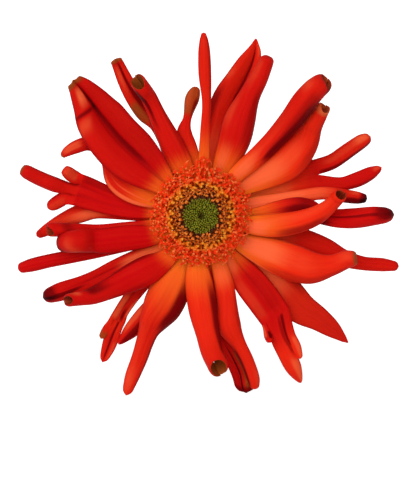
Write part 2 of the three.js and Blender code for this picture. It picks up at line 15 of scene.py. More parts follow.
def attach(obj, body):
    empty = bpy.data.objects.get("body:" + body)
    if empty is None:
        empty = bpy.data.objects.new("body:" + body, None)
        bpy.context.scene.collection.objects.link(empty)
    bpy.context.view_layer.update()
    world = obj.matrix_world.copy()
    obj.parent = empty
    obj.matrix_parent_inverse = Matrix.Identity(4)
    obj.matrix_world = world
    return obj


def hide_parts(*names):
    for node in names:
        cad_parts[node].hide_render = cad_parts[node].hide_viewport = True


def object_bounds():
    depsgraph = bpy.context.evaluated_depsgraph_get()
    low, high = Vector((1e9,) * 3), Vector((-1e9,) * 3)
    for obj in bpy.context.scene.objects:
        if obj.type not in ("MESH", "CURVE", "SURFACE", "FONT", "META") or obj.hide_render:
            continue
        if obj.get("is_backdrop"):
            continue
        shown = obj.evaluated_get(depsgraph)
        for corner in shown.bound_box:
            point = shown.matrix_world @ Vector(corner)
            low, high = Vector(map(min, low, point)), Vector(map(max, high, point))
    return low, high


bl_info = {
    "name": "Cut gerbera",
    "version": (1, 0, 0),
    "blender": (4, 5, 0),
    "location": "3D View > Sidebar > Gerbera",
    "description": "Petals, florets, bracts and stem of a cut gerbera around its solid model",
    "category": "Object",
}

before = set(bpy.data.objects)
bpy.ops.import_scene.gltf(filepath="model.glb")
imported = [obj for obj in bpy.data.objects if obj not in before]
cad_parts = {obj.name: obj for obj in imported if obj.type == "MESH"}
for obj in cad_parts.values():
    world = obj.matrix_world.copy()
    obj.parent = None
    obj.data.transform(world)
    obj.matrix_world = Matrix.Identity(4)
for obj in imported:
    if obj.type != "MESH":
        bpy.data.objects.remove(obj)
CAD_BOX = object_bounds()

# Driving dimensions of the flower, in millimetres and degrees
MM = 0.001
HEAD_LEAN = 13  # between the head's axis and the horizontal
HEAD_HEIGHT = 38.2
FIRST_RADIUS = 7.1  # where a petal's claw leaves the receptacle
TIER_STEP = 0.92
TIER_SPREAD = 0.05
DISH = 0.07
RECEPTACLE_TOP = 0.6
RECEPTACLE_DEPTH = 11
STEM_GAP = 0.3  # between the solid model's receptacle and stem
STEM_JOINT = 0.02  # what is left of that gap here
STEM_RADIUS = 2.4
STEM_LENGTH = 152
STEM_SWAY = 5
STEM_RINGS = 161
STEM_STEPS = 400  # with which the length of the stem's middle line is measured
STEM_RIB = 0.012  # height of the stem's and the receptacle's ribs, as a share of their radius
CUT_SLANT = 0.9
BRACTS_PER_RING = 10
LEAST_WIDTH = 0.25
FLOOR_REACH = 0.0003  # down that comes nearer the floor than this is pressed flat, in metres
EDGE_ROLL = 1.35  # above 1, an open blade is flatter in the middle and rolls more towards its edges
GLOW_START = 9  # where the orange of a petal's claw begins to fade
ROW_CROWDING = 1.25
GOLDEN_ANGLE = math.radians(137.508)
CLAW_ROLL = (0, -20, -20)  # a roll's first point, unless it has its own
PATCH_EDGE = 0.06  # share of the length in which a patch of brown fades
LOBE_THICKNESS = 0.07
NO_SWITCH = 2.0  # further out than a ring's florets lie, so none of them are of its later kinds
TUFT = (86, 11, 2.1)  # bearing, spread in degrees and reach of the trans florets that stand out

# Colours that go over a petal's own
# Painted shade laid into the valleys of a petal's folds
VALLEY_SHADE_RED = (0.26, 0.001, 0.003)
# Painted shade along a petal's edges, where they roll away from the light
EDGE_SHADE_RED = (0.3, 0.001, 0.004)
# Painted shadow, nearly black, in slits and rolled tips
BLACK_SHADOW_RED = (0.03, 0.001, 0.002)
RUST = (0.34, 0.03, 0.01)
UNDERSIDE_LINES = (0.8, 0.19, 0.04)
# Painted shade within a rolled tip's mouth
MOUTH_SHADE_RED = (0.09, 0.002, 0.003)
GREEN_SKIN = dict(Specular_IOR_Level=0.3, Sheen_Roughness=0.5, Subsurface_Weight=0.05,
                  Subsurface_Scale=0.001)
MIX_FIRST, MIX_SECOND, MIX_RESULT = 6, 7, 2  # where a Mix node has its colour sockets

# The picture's frame: the flower seen square on through a long lens
PICTURE = (416, 484)
PIXEL = 0.22  # mm of the head's plane in one pixel of the picture
HEAD_PIXEL = (201, 216)
LENS = 240
SENSOR = 36

# The ray petals by number, clockwise from the top. A path point is (bearing, radius, width) and
# then the lift, if it has one. A roll point is (share of the length, left edge, right edge), where
# edges with minus degrees curl back; it starts as CLAW_ROLL if it doesn't start at 0, and its last
# point holds on to the tip. A fold is (place near the claw, place near the tip, turns at claw,
# middle and tip, spread): plus turns make a valley and minus turns a ridge. A mouth is (depth,
# place, spread) of the slanting cut of a rolled tip, and a cap (length, open share) rounds its
# end. Tone is from crimson, 0, to orange red, 1, near the claw, in the middle and at the tip; it is
# partly the petal's own colour and partly painted light, deeper on petals that face away from the
# key light and lighter on petals that lie in their neighbours' shade. A patch is (from share, to
# share, place, spread, amount) of brown. A stroke is (from share, to share, place, spread, amount)
# of painted shade in dark red, which past 1 turns to a nearly black painted shadow, or with a minus
# of painted highlight in pale orange red, and then its place at the far end, if it moves; some
# strokes also give the petal's own deeper red and paler tan tips. Inside is 1 where a rolled tip
# is brown within, and less than 0 where painted shade darkens it within.
PETALS = {
    1: dict(tier=0, tone=(0.7, 0.7, 0.6), glow=23, tip=0.8,
        path=[(87, 7.1, 2.2), (87.2, 12, 2.4), (87.3, 19, 2), (87.2, 25, 1.9), (88.4, 31, 2.7),
            (88.9, 36, 2.5), (89.1, 38.6, 1.7), (89.2, 40.1, 0.8)],
        roll=[(0.4, -70, -80), (1, -85, -105)],
        strokes=[(0.3, 0.95, 0.7, 0.4, 0.4), (0.72, 0.95, 0, 0.4, -0.15)]),
    2: dict(tier=3, tone=(0.6, 0.65, 0.7), glow=16, tip=0.6,
        path=[(84, 7.1, 2.2), (82, 12, 4), (80, 19, 5.4), (77.5, 26, 6.6), (74.3, 31, 6.2),
            (72.5, 35.5, 5.2), (72.2, 38.4, 3.2), (72.8, 41.2, 0.6)],
        roll=[(0.5, -70, -70), (1, -90, -110)], folds=[(0.65, 0.1, (20, 90, 130), 0.1)],
        strokes=[(0.42, 0.9, 0.45, 0.1, 1.2, 0.12), (0.5, 0.64, -0.85, 0.3, -0.35),
            (0.82, 0.95, 0.8, 0.25, -0.4), (0.2, 0.5, -0.8, 0.35, 0.7), (0.12, 0.3, 0, 0.6, -0.4)]),
    3: dict(tier=1, tone=(0.5, 0.35, 0.4), glow=20, tip=0.4, cap=(2.2, 0.15),
        path=[(66, 7.1, 2.2), (65.5, 11.5, 4.8), (66.2, 18, 6.9), (68, 23, 6.8), (68, 28.5, 4.6),
            (67.2, 33, 3.8), (67, 36.8, 3, 0.3), (67, 38.2, 2.6, 0.6)],
        roll=[(0.4, -70, -80), (0.75, -120, -120), (1, -150, -140)],
        folds=[(0.1, 0, (30, 0, 0), 0.3)],
        strokes=[(0.36, 0.55, -0.7, 0.3, -0.3), (0.62, 0.92, -0.4, 0.3, -0.25),
            (0.25, 0.65, 0.6, 0.4, 0.5), (0.08, 0.24, -0.3, 0.4, -0.6)]),
    4: dict(tier=0, tone=(0.9, 0.5, 0.5), glow=21, mouth=(0.7, 0.42, 0.35), cap=(2, 0.65),
            inside=-0.5,
        path=[(52, 7.1, 2.2), (49.4, 12, 3.6), (46.5, 18.5, 4.2), (46.2, 24, 4.5), (46.8, 29, 4.9),
            (47.9, 34, 5.2), (48, 38, 4.9, 0.8), (47.3, 41, 4.4, 2)],
        roll=[(0, -20, -30), (0.35, -90, -100), (0.82, -202, -168)],
        strokes=[(0.28, 0.78, 0.55, 0.3, 1.1, 0.6), (0.3, 0.9, 0.25, 0.25, 0.45),
            (0.8, 0.95, -0.35, 0.3, -0.35), (0.3, 0.62, -0.35, 0.3, -0.15),
            (0.1, 0.28, 0, 0.6, -0.7), (0.95, 1.1, 0.5, 0.2, 0.8)]),
    5: dict(tier=1, tone=(1, 0.9, 0.6), glow=27, brown=1.6, tip=0.8, mouth=(1.2, 0.25, 0.5),
            cap=(1.4, 0.65), inside=0.5,
        path=[(37, 7.1, 2.2), (36, 11, 4.2), (33, 17, 6.6), (32.2, 22.5, 7.8), (35.2, 27.5, 6.6),
            (38.8, 31.5, 4.2), (41, 35, 3.2, 0.8), (42, 37, 2.8, 2)],
        roll=[(0.5, -40, -70), (0.85, -202, -168)],
        strokes=[(0.1, 0.38, 0, 0.6, -0.8, -0.1), (0.38, 0.58, -0.1, 0.5, -0.35, -0.2),
            (0.72, 0.88, -0.5, 0.3, -0.3), (0.45, 0.92, 0.65, 0.35, 0.4), (0.94, 1.2, 0, 2, -0.75)]),
    6: dict(tier=3, tone=(1, 1, 0.4), glow=26,
        path=[(18, 7.1, 2.2), (18, 12, 4), (20, 18.5, 5.6), (20.5, 24.5, 6.6), (19.5, 27.5, 7)],
        roll=[(1, -45, -40)], folds=[(0, 0, (0, 0, 60), 0.2)],
        strokes=[(0.1, 0.6, 0.1, 0.9, -0.45)],
        fingers=[
            dict(start=0, end=0.5, tip=0.8, tone=0.6,
                path=[(22.6, 31.4, 3.4), (24.1, 35.8, 3.3), (25, 39.2, 3), (25.2, 41.4, 2, 0.6)],
                roll=[(0, -40, -30), (0.5, -80, -90), (1, -110, -120)],
                strokes=[(0.65, 1, -0.3, 0.4, -0.6), (0.1, 0.65, -0.25, 0.35, -0.25),
                    (0, 1, 0.75, 0.3, 0.8)]),
            dict(start=0.5, end=1, tip=1, tone=0.1,
                path=[(13, 31.5, 2.9), (13.2, 35.5, 3.3), (14.3, 38.9, 2.8), (15.2, 41.4, 1.2, 0.6)],
                roll=[(0, -20, -25), (1, -60, -80)],
                strokes=[(0.82, 1, -0.3, 0.4, -0.4), (0, 1, 0.8, 0.3, 0.5)])
        ]),
    7: dict(tier=2, tone=(1, 1, 0.2), glow=28, tip=0.8,
        path=[(12, 7.1, 2.2), (12, 11.5, 3.6), (11, 16.5, 3.6), (11.2, 22, 2.9), (10.6, 27.5, 2.7),
            (8, 32, 2.8), (6.6, 35, 2.4), (6, 36.8, 1.6, 0.5)],
        roll=[(0.6, -80, -90), (1, -120, -130)],
        strokes=[(0.08, 0.4, 0, 0.9, -1), (0.36, 0.62, -0.1, 0.8, -0.6),
            (0.2, 0.65, 0.85, 0.2, 0.6), (0.7, 1, 0.45, 0.4, 1.2), (0.93, 1.1, 0.1, 1.2, 1.8),
            (0.76, 0.9, -0.5, 0.25, -0.4)]),
    8: dict(tier=0, tone=(1, 0.95, 0.8), glow=25, cap=(1.2, 0.85), inside=-0.6,
        path=[(348, 7.1, 2.2), (350, 11.5, 4.2), (352.7, 16.5, 5), (357, 22, 4.6), (361, 26, 3.8),
            (365.2, 29, 3, 0.6), (368.5, 31, 2.9, 1.6), (369.6, 31.9, 2.8, 3.2)],
        roll=[(0.35, -90, -90), (0.82, -202, -168)],
        strokes=[(0.08, 0.24, 0.2, 0.6, -0.9), (0.24, 0.8, -0.3, 0.3, -0.25),
            (0.28, 0.62, 0.55, 0.3, 0.6, 0.5)]),
    9: dict(tier=1, tone=(0.7, 0.1, 0.05), glow=21, tip=1.2,
        path=[(359, 7.1, 2.2), (361.5, 12, 3), (363.5, 17.5, 4.8), (363.5, 21.5, 5.6),
            (362.5, 24, 5), (360, 26.5, 3.6), (359, 30, 4), (359.2, 34, 4.2), (360, 38, 3.9),
            (360.4, 42.4, 3, 0.6)],
        roll=[(0.5, -80, -80), (0.85, -140, -130), (1, -150, -140)],
        folds=[(0.05, 0.05, (0, 45, 0), 0.15)],
        strokes=[(0.24, 0.48, 0, 0.35, 0.9), (0.45, 0.62, 0.7, 0.5, 1.2),
            (0.55, 0.92, -0.1, 0.08, 0.8, -0.05), (0.3, 0.5, -0.6, 0.5, 0.7),
            (0.82, 0.95, -0.6, 0.25, -0.25), (0.93, 1.1, -0.2, 0.5, 1.6)]),
    10: dict(tier=3, tone=(0.6, 0.5, 0.4), glow=20, tip=1,
        path=[(346, 7.1, 2.2), (345, 12, 3.6), (346, 22, 5.6), (345.2, 28, 5.0), (343.6, 33, 3.8),
            (343.8, 37.5, 3), (345, 41.5, 2.8), (345.7, 45.1, 1.8, 0.4)],
        roll=[(0.6, -60, -70), (1, -110, -110)],
        strokes=[(0.08, 0.24, 0, 0.7, -0.8), (0.25, 0.6, 0.7, 0.3, 0.3)]),
    11: dict(tier=1, tone=(1, 0.9, 0.7), glow=26, brown=0.8, tip=0.4, cap=(1.6, 0.45),
        path=[(327, 7.1, 2.2), (327.5, 11, 4.4), (331, 16.5, 7), (332.8, 22, 8), (335, 26.8, 7.2),
            (339.5, 30.8, 4.6), (343.5, 33.5, 3.8, 0.4), (345, 35.6, 3, 1)],
        roll=[(0.6, -50, -80), (1, -130, -140)],
        strokes=[(0.08, 0.36, -0.1, 0.6, -0.9), (0.36, 0.6, -0.2, 0.5, -0.25),
            (0.3, 0.85, 0.7, 0.3, 0.4), (0.1, 0.45, 0.93, 0.07, -0.7), (0.78, 1, -0.3, 0.4, -0.3)]),
    12: dict(tier=3, tone=(1, 0.7, 0.3), glow=23, rust=0.2, tip=1.2,
        path=[(316, 7.1, 2.2), (317, 12, 5), (318.3, 18, 7.6), (317.8, 25, 7.8), (317.3, 30, 7),
            (318.8, 34.5, 5.4), (319.3, 38.5, 3.8), (319.3, 43, 0.9)],
        roll=[(1, -40, -50)], folds=[(-0.15, 0, (0, 30, 30), 0.3)],
        strokes=[(0.2, 0.5, -0.8, 0.25, 0.6), (0.1, 0.42, 0.1, 0.7, -0.7, 0)]),
    13: dict(tier=2, tone=(0.6, 0.35, 0.3), glow=17.5,
        path=[(306, 7.1, 2.2), (305.6, 12, 4.8), (306.4, 17.5, 7), (306.8, 23, 7.4),
            (306.6, 27.5, 7.2)],
        roll=[(0.7, -80, -50), (1, -50, -60)], folds=[(-0.35, 0.1, (20, 60, 40), 0.2)],
        strokes=[(0.08, 0.35, 0.4, 0.5, -0.7, 0.5), (0.4, 0.95, 0.6, 0.3, -0.25),
            (0.45, 1, -0.4, 0.4, 0.35, -0.3)],
        fingers=[
            dict(start=0, end=1 / 3, tip=0.6, tone=0.8,
                path=[(307.1, 32.6, 2.2), (306, 35.7, 2.2), (304.9, 38.3, 1.2)],
                roll=[(1, -90, -90)], strokes=[(0.4, 1, -0.3, 0.4, -0.5), (0, 0.6, 0.8, 0.3, 1.0)]),
            dict(start=1 / 3, end=5 / 6, tip=0.6, tone=0.8,
                path=[(302.3, 32.1, 3.5), (301.9, 35.5, 3.8), (301.4, 39.3, 3.5, -0.6),
                    (301, 42.9, 1.2, -2)],
                roll=[(1, -80, -90)],
                strokes=[(0.6, 1, -0.4, 0.4, -0.6), (0, 0.6, -0.7, 0.25, 0.6)]),
            dict(start=5 / 6, end=1, tip=0.3, tone=0.3,
                path=[(299.2, 30.5, 1.8, 0.8), (298.7, 31.8, 1.2, 2)], roll=[(1, -100, -100)],
                strokes=[(0.3, 0.8, -0.4, 0.3, 1.6), (0, 0.6, 0.5, 0.3, -0.5)])
        ]),
    14: dict(tier=1, tone=(0.8, 0.7, 0.7), glow=20, tip=0.8,
        path=[(289, 7.1, 2.2), (290.4, 11, 3.4), (288.6, 16, 4.2), (286.4, 20.5, 4.3),
            (284.4, 25, 5.1), (286.2, 29, 3.2), (287.6, 33.3, 2.8), (287.9, 37.5, 2.5, -0.3),
            (287.4, 39.8, 1.6, -0.8)],
        roll=[(0.35, -90, -60), (0.6, -100, -90), (1, -120, -120)],
        strokes=[(0.1, 0.26, 0, 0.8, -0.5), (0.3, 0.6, -0.7, 0.3, 0.4),
            (0.66, 0.96, 0.75, 0.3, 1.2), (0.8, 1, -0.4, 0.3, -0.25)]),
    15: dict(tier=2, tone=(0.5, 0.45, 0.3), glow=14, tip=0.8,
        path=[(279, 7.1, 2.2), (278.5, 12, 3.2), (278, 19, 4.6), (280, 26, 5), (283.4, 31.5, 4.8),
            (285, 36, 5), (284.4, 40.2, 4.4, 0.8)],
        roll=[(0.6, -30, 20), (1, -60, 70)], patches=[(0.62, 1, -0.55, 0.55, 1)],
        strokes=[(0.34, 0.5, 0, 2, 0.5), (0.62, 1, 0.25, 0.06, 1.7), (0.97, 1.1, 0, 2, 1.6)]),
    16: dict(tier=0, tone=(0.9, 0.85, 0.5), glow=22, mouth=(2.1, 0.05, 0.5), inside=1,
            cap=(1.8, 0.7),
        path=[(265, 7.1, 2.2), (265.5, 11, 4.6), (268.3, 15, 6), (271.2, 20.7, 6.2),
            (273.4, 26, 5.2), (274.7, 30.5, 4.4), (276.4, 33, 4.4, 0.4), (277.4, 35.2, 4.2, 1.6)],
        roll=[(0.5, -80, -80), (0.85, -202, -168)], strokes=[(0.3, 0.92, -0.75, 0.28, 0.9, -0.55)]),
    17: dict(tier=1, tone=(0.9, 0.6, 0.7), glow=29, tip=1.2,
        path=[(248, 7.1, 2.2), (248.3, 11.5, 5.2), (247.5, 17, 8.4), (246.8, 21.5, 8.6),
            (245.8, 25, 6.6), (245.6, 27.8, 4.5), (246, 30.5, 3.8), (246.6, 34, 3.5),
            (246.8, 38.5, 3.1), (247.3, 42.7, 2)],
        roll=[(0.6, -60, -60), (1, -80, -80)], folds=[(0.45, 0.3, (10, -60, 0), 0.12)],
        strokes=[(0.18, 0.5, -0.7, 0.32, 1.0, -0.65), (0.06, 0.4, 0.2, 0.6, -0.12),
            (0.84, 1, 0.2, 0.5, -0.35), (0.5, 1, -0.85, 0.2, 0.7), (0.45, 0.84, 0.4, 0.4, -0.15)]),
    18: dict(tier=2, tone=(0.9, 0.8, 0.4), glow=25, tip=0.8,
        path=[(250, 7.1, 2.2), (247, 13, 3), (243, 20.5, 3.8), (240.4, 25.5, 4.2), (238.4, 30, 3.2),
            (237.2, 33.6, 1)],
        roll=[(1, -60, -60)], strokes=[(0.5, 0.85, 0.65, 0.3, -0.5), (0.5, 1, -0.4, 0.5, 0.9)]),
    19: dict(tier=3, tone=(0.4, 0.4, 0.8), glow=16,
        path=[(233, 7.1, 2.2), (230.5, 13, 3), (229, 20, 3.4), (229.3, 24, 3.3), (230.2, 27.5, 3.2),
            (231.2, 29.5, 3.6)],
        roll=[(0.6, -80, -80), (1, -90, -90)], folds=[(0.1, 0.1, (0, 80, 110), 0.15)],
        strokes=[(0.58, 0.98, 0.5, 0.35, -0.6), (0.58, 0.86, -0.85, 0.2, -0.6),
            (0.72, 1, -0.4, 0.2, 0.9)],
        fingers=[
            dict(start=0, end=0.75, tip=0.7, tone=0.55,
                path=[(233.2, 32.5, 3.4), (234.7, 35.5, 3), (236, 39, 1.7)],
                roll=[(0, -30, -30), (1, -80, -80)], folds=[(0.1, 0, (60, 60, 60), 0.2)],
                strokes=[(0, 0.9, -0.1, 0.15, 1.0, 0.1), (0.5, 0.95, -0.6, 0.2, -0.35)]),
            dict(start=0.75, end=1, tip=0.5, tone=0.6, brown=1.8,
                path=[(230, 32.8, 1.7, 0.1), (230.7, 35, 1.3, 0.8)], roll=[(1, -40, -40)])
        ]),
    20: dict(tier=0, tone=(0.4, 0.1, 0.05), glow=15.5, mouth=(1.6, 0, 0.45), inside=-0.6,
            cap=(1.2, 0.6),
        path=[(234, 7.1, 2.2), (231, 12, 4.2), (225.5, 16.5, 6.4), (221.2, 21, 6),
            (218.6, 25.5, 4.5), (216.4, 30, 3.3), (213.8, 33, 2.8, 0.8), (211.9, 35.4, 2.6, 1.8)],
        roll=[(0.4, -70, -70), (0.85, -202, -168)],
        strokes=[(0.6, 0.8, 0.4, 0.35, 0.9), (0.82, 0.96, 0.4, 0.25, -0.5),
            (0.3, 0.7, -0.8, 0.3, 0.4), (0.2, 0.6, 0.85, 0.2, 0.7)]),
    21: dict(tier=2, tone=(0.5, 0.35, 0.1), glow=19, tip=1.2,
        path=[(219, 7.1, 2.2), (217, 12, 3.6), (213, 18, 4), (211.3, 22.5, 3.8), (210.6, 27, 3.6),
            (209.5, 31, 3.6), (208.2, 35.5, 3.8, 0.2), (207.3, 39.2, 2.8, 1)],
        roll=[(0.5, -80, -80), (0.85, -140, -130), (1, -150, -140)],
        folds=[(0.1, 0.1, (0, 60, 0), 0.12)],
        strokes=[(0.12, 0.36, 0, 0.6, -0.8), (0.7, 0.98, -0.15, 0.12, 1.1),
            (0.92, 1.1, 0.1, 0.5, 1.5), (0.3, 0.7, -0.8, 0.25, 0.8)]),
    22: dict(tier=1, tone=(0.2, 0.05, 0.3), glow=13.5, mouth=(1.2, -0.4, 0.35), cap=(1.6, 0.6),
            inside=-0.8,
        path=[(204, 7.1, 2.2), (202, 11.5, 4.4), (197, 16.5, 5.6), (194.5, 22, 5.4), (193, 24.2, 5),
            (191.8, 26.6, 4.8, 0.3), (191.4, 28.2, 4.4, -0.5), (191, 29.2, 4, -1.6)],
        roll=[(0.5, -60, -60), (0.85, -202, -168)],
        strokes=[(0.76, 0.9, -0.3, 0.5, -0.4), (0.88, 1.1, 0.1, 2, 1.0)]),
    23: dict(tier=3, tone=(0.1, 0, 0.05), glow=13.5, tip=1,
        path=[(208, 7.1, 2.2), (205, 12, 2.8), (200.4, 19, 2.9), (198.6, 25, 2.8), (197.3, 30, 2.9),
            (196.4, 35, 2.9), (196.1, 39, 2.8), (196, 42.1, 2)],
        roll=[(0.6, -80, -80), (1, -100, -100)], strokes=[(0, 1, 0.8, 0.3, 0.4)]),
    24: dict(tier=2, tone=(0.25, 0.05, 0.2), glow=14.5, mouth=(1.6, -0.2, 0.45), cap=(1.2, 0.7),
            inside=-0.6,
        path=[(191, 7.1, 2.2), (191, 12, 2.8), (189.6, 17, 3), (188.3, 22.5, 2.8), (186.8, 27, 2.8),
            (185.6, 31, 2.8, 0.4), (185, 34.2, 2.8, 1.2)],
        roll=[(0.5, -80, -80), (0.82, -202, -168)],
        strokes=[(0.3, 0.85, -0.7, 0.3, 0.7), (0.2, 0.4, 0.5, 0.2, -0.2), (0.72, 0.86, 0, 0.8, 0.6)]),
    25: dict(tier=3, tone=(0.3, 0.6, 0.5), glow=14, tip=0.8,
        path=[(180, 7.1, 2.2), (178.5, 12, 3), (177.2, 19, 3.2), (177, 23.5, 3.6), (179, 27, 4),
            (182, 31, 3), (184.9, 34, 2.6), (186.8, 36.6, 1.5)],
        roll=[(0.6, -60, -60), (1, -90, -90)],
        strokes=[(0.36, 0.62, -0.3, 0.5, -0.7), (0.62, 0.88, 0, 0.6, -0.25), (0.9, 1, 0, 1, 0.4)]),
    26: dict(tier=2, tone=(0.3, 0.2, 0.3), glow=14,
        path=[(170, 7.1, 2.2), (172.5, 12, 4.2), (172, 16, 5.4), (170.4, 21, 6.2), (168.8, 25, 7),
            (168, 27.5, 7.2)],
        roll=[(1, -70, -70)],
        folds=[(-0.33, -0.33, (0, 30, 70), 0.15), (0.33, 0.33, (0, 30, 70), 0.15)],
        strokes=[(0.5, 1, 0.8, 0.3, 0.5)],
        fingers=[
            dict(start=0, end=1 / 3, tip=0.5, tone=0.35,
                path=[(172.8, 30.4, 3, 0.2), (175.2, 32.4, 2.8, 0.4), (177, 33.8, 2, 0.6)],
                roll=[(1, -90, -90)], strokes=[(0.3, 1, -0.2, 0.5, -0.25), (0.1, 1, 0.8, 0.3, 0.5)]),
            dict(start=1 / 3, end=2 / 3, tip=0.7, tone=0.28, brown=0.3, cap=(1.4, 0.4),
                path=[(168.2, 30.6, 3), (167.7, 33.6, 3.1), (166.7, 37, 3), (165.3, 41, 2.8, 0.5)],
                roll=[(0.6, -120, -120), (1, -150, -150)], strokes=[(0, 1, 0.8, 0.3, 0.6)]),
            dict(start=2 / 3, end=1, tip=0.4, tone=0.4, cap=(1.2, 0.5),
                path=[(162.8, 29.4, 2.9, 0.4), (161, 32.1, 2.3, 1)], roll=[(1, -130, -130)],
                strokes=[(0.3, 1, 0.1, 0.6, -0.35)])
        ]),
    27: dict(tier=1, tone=(0.7, 0.5, 0.3), glow=21, tip=0.6, brown=0.7,
        path=[(158, 7.1, 2.2), (160, 12, 4.6, -0.1), (158, 16, 6.4, -0.2), (155, 20, 6.2, -0.3),
            (148.6, 23.5, 4, -0.4), (146, 26.5, 3.2, -0.4), (147.3, 29.5, 3, -0.4),
            (151.2, 31.5, 2.8, -0.4), (154.6, 32.8, 2, -0.4), (156.8, 33.3, 1, -0.3)],
        roll=[(0.6, -50, -50), (1, -90, -90)],
        strokes=[(0.08, 0.36, -0.85, 0.15, -1), (0.08, 0.34, -0.35, 0.06, -0.5),
            (0.66, 0.95, 0.2, 0.5, -0.5), (0.58, 0.7, 0, 1, 0.8)]),
    28: dict(tier=0, tone=(0.3, 0.35, 0.3), glow=16, tip=0.5, brown=1.6, cap=(1.4, 0.5),
        path=[(139, 7.1, 2.4), (138.6, 11, 5.8), (138.8, 16, 9.8), (138.8, 20.5, 11.8),
            (138, 25.5, 11.8), (135.9, 31, 10.9), (134.2, 35, 8.2, 0.4), (133.4, 38.5, 5.6, 1.2),
            (133.4, 40.8, 3.4, 2.4)],
        roll=[(0.4, -75, -75), (0.85, -120, -120), (1, -150, -150)],
        folds=[(0.12, 0.05, (30, 110, 150), 0.09)],
        strokes=[(0.63, 0.89, 0.1, 0.09, 1.7, 0.02), (0.28, 0.62, 0.16, 0.12, 0.8, 0.14),
            (0.76, 0.91, -0.35, 0.25, -0.8, -0.3), (0.69, 0.72, -0.55, 0.5, 1.0, -0.45),
            (0.6, 0.68, -0.75, 0.3, -0.4, -0.6), (0.2, 0.9, 0.65, 0.4, 0.3)]),
    29: dict(tier=2, tone=(0.6, 0.65, 0.5), glow=18, brown=1.6, cap=(1.2, 0.1),
        path=[(120, 7.1, 2.2), (118, 13, 2.2), (116.4, 18, 2.5), (116, 22.4, 3.1), (118, 26, 4.4),
            (119.2, 30.2, 4), (119.2, 34.3, 3.4), (118.7, 38, 2.7, 0.6), (118.6, 39.4, 2.5, 1.4)],
        roll=[(0.6, -80, -80), (1, -130, -130)], folds=[(0.1, 0.1, (0, 60, 120), 0.1)],
        patches=[(0.4, 0.56, -0.6, 0.55, 0.9)],
        strokes=[(0.7, 0.9, 0.1, 0.2, 1.0, 0.15), (0.68, 0.88, -0.4, 0.25, -0.4),
            (0.5, 0.7, 0.4, 0.5, 1.0)]),
    30: dict(tier=1, tone=(0.5, 0.45, 0.3), glow=16.5, mouth=(3, 0.0, 0.5), inside=1,
            cap=(1.4, 0.75),
        path=[(110, 7.1, 2.2), (111, 11.5, 5), (112.2, 16, 5.4), (112.8, 19.5, 4.6),
            (113.4, 23.8, 3.8), (113.8, 28.8, 3.3), (114.8, 31.6, 3.3, 0.6), (115.6, 34, 3.2, 1.8)],
        roll=[(0.6, -80, -80), (0.85, -202, -168)],
        strokes=[(0.66, 0.93, -0.4, 0.14, 1.6, -0.35), (0.5, 0.66, -0.4, 0.15, 0.6),
            (0.2, 0.9, 0.75, 0.3, 0.4)]),
    31: dict(tier=2, tone=(0.8, 0.5, 0.4), glow=18, tip=0.4,
        path=[(98, 7.1, 2.2), (99.3, 11, 3.6), (101, 15, 4.2), (101.2, 19, 3.2),
            (98, 21.8, 1.8, 0.2), (94.7, 25.5, 3, 0.9), (93.3, 27, 2.7, 1.4), (91.8, 28.4, 1.6, 2)],
        roll=[(0.6, -60, -60), (1, -110, -120)], folds=[(0, 0, (0, 0, 70), 0.15)],
        patches=[(0.58, 1, 0, 2, 0.9)],
        strokes=[(0.62, 0.95, -0.4, 0.4, -0.3), (0.6, 0.8, 0.6, 0.3, 0.8)]),
}

# The two rings of bracts: the turn of the ring in degrees and one bract's (radius, depth, width)
BRACTS = {
    "outer": (0, [(4.7, -9.2, 1.6), (7.4, -7.9, 2.3), (9.8, -6.9, 1.9), (11.8, -6.5, 0.7)]),
    "inner": (18, [(6.3, -7.4, 1.8), (8.4, -5.9, 2.4), (11, -5.2, 2), (14, -5.1, 0.7)]),
}


class GerberaPetalSettings(bpy.types.PropertyGroup):
    """Sizes and colours of the ray petals."""

    thickness: FloatProperty(name="Thickness", description="Thickness of a petal's blade",
                             default=0.0003, min=0.0001, unit="LENGTH")
    rows: IntProperty(name="Rows", description="Rows of faces along a petal", default=72, min=8)
    columns: IntProperty(name="Columns", description="Columns of faces across a petal",
                         default=36, min=12)
    rib_height: FloatProperty(name="Rib height", description="Height of a petal's fine ribs",
                              default=0.000018, min=0, unit="LENGTH")
    crimson: FloatVectorProperty(name="Crimson", description="Colour of the deepest red petals",
                                 default=(0.58, 0.0014, 0.0035), subtype="COLOR", size=3)
    scarlet: FloatVectorProperty(name="Scarlet", description="Colour of the brightest petals",
                                 default=(0.93, 0.03, 0.007), subtype="COLOR", size=3)
    orange: FloatVectorProperty(name="Orange", description="Colour where red fades near the disc",
                                default=(0.93, 0.125, 0.012), subtype="COLOR", size=3)
    amber: FloatVectorProperty(name="Amber", description="Colour of the claws beside the disc",
                               default=(0.94, 0.22, 0.012), subtype="COLOR", size=3)
    # Painted highlight laid by the strokes, which also pales brown tips to tan
    salmon_highlight: FloatVectorProperty(name="Salmon", description="Colour of the lightest streaks",
                                default=(1.0, 0.14, 0.045), subtype="COLOR", size=3)
    # Painted shade laid by the strokes, in creases and on flanks in their neighbours' shade, with
    # some of the petals' own deeper red
    maroon_shade: FloatVectorProperty(name="Maroon", description="Colour of creases and shaded flanks",
                                default=(0.2, 0.0008, 0.002), subtype="COLOR", size=3)
    brown: FloatVectorProperty(name="Brown", description="Colour of the withered tips",
                               default=(0.33, 0.065, 0.01), subtype="COLOR", size=3)
    underside: FloatVectorProperty(name="Underside", description="Colour of the petals' backs",
                                   default=(0.72, 0.06, 0.02), subtype="COLOR", size=3)


class GerberaDiscSettings(bpy.types.PropertyGroup):
    """Sizes and counts of the florets in the middle."""

    buds: IntProperty(name="Buds", description="Unopened buds in the middle", default=230, min=1)
    opened: IntProperty(name="Opened florets", description="Disc florets with spread lobes",
                        default=74, min=1)
    trans: IntProperty(name="Trans florets", description="Short curled florets at the rim",
                       default=210, min=1)
    seed: IntProperty(name="Seed", description="Seed of the small random turns", default=7)


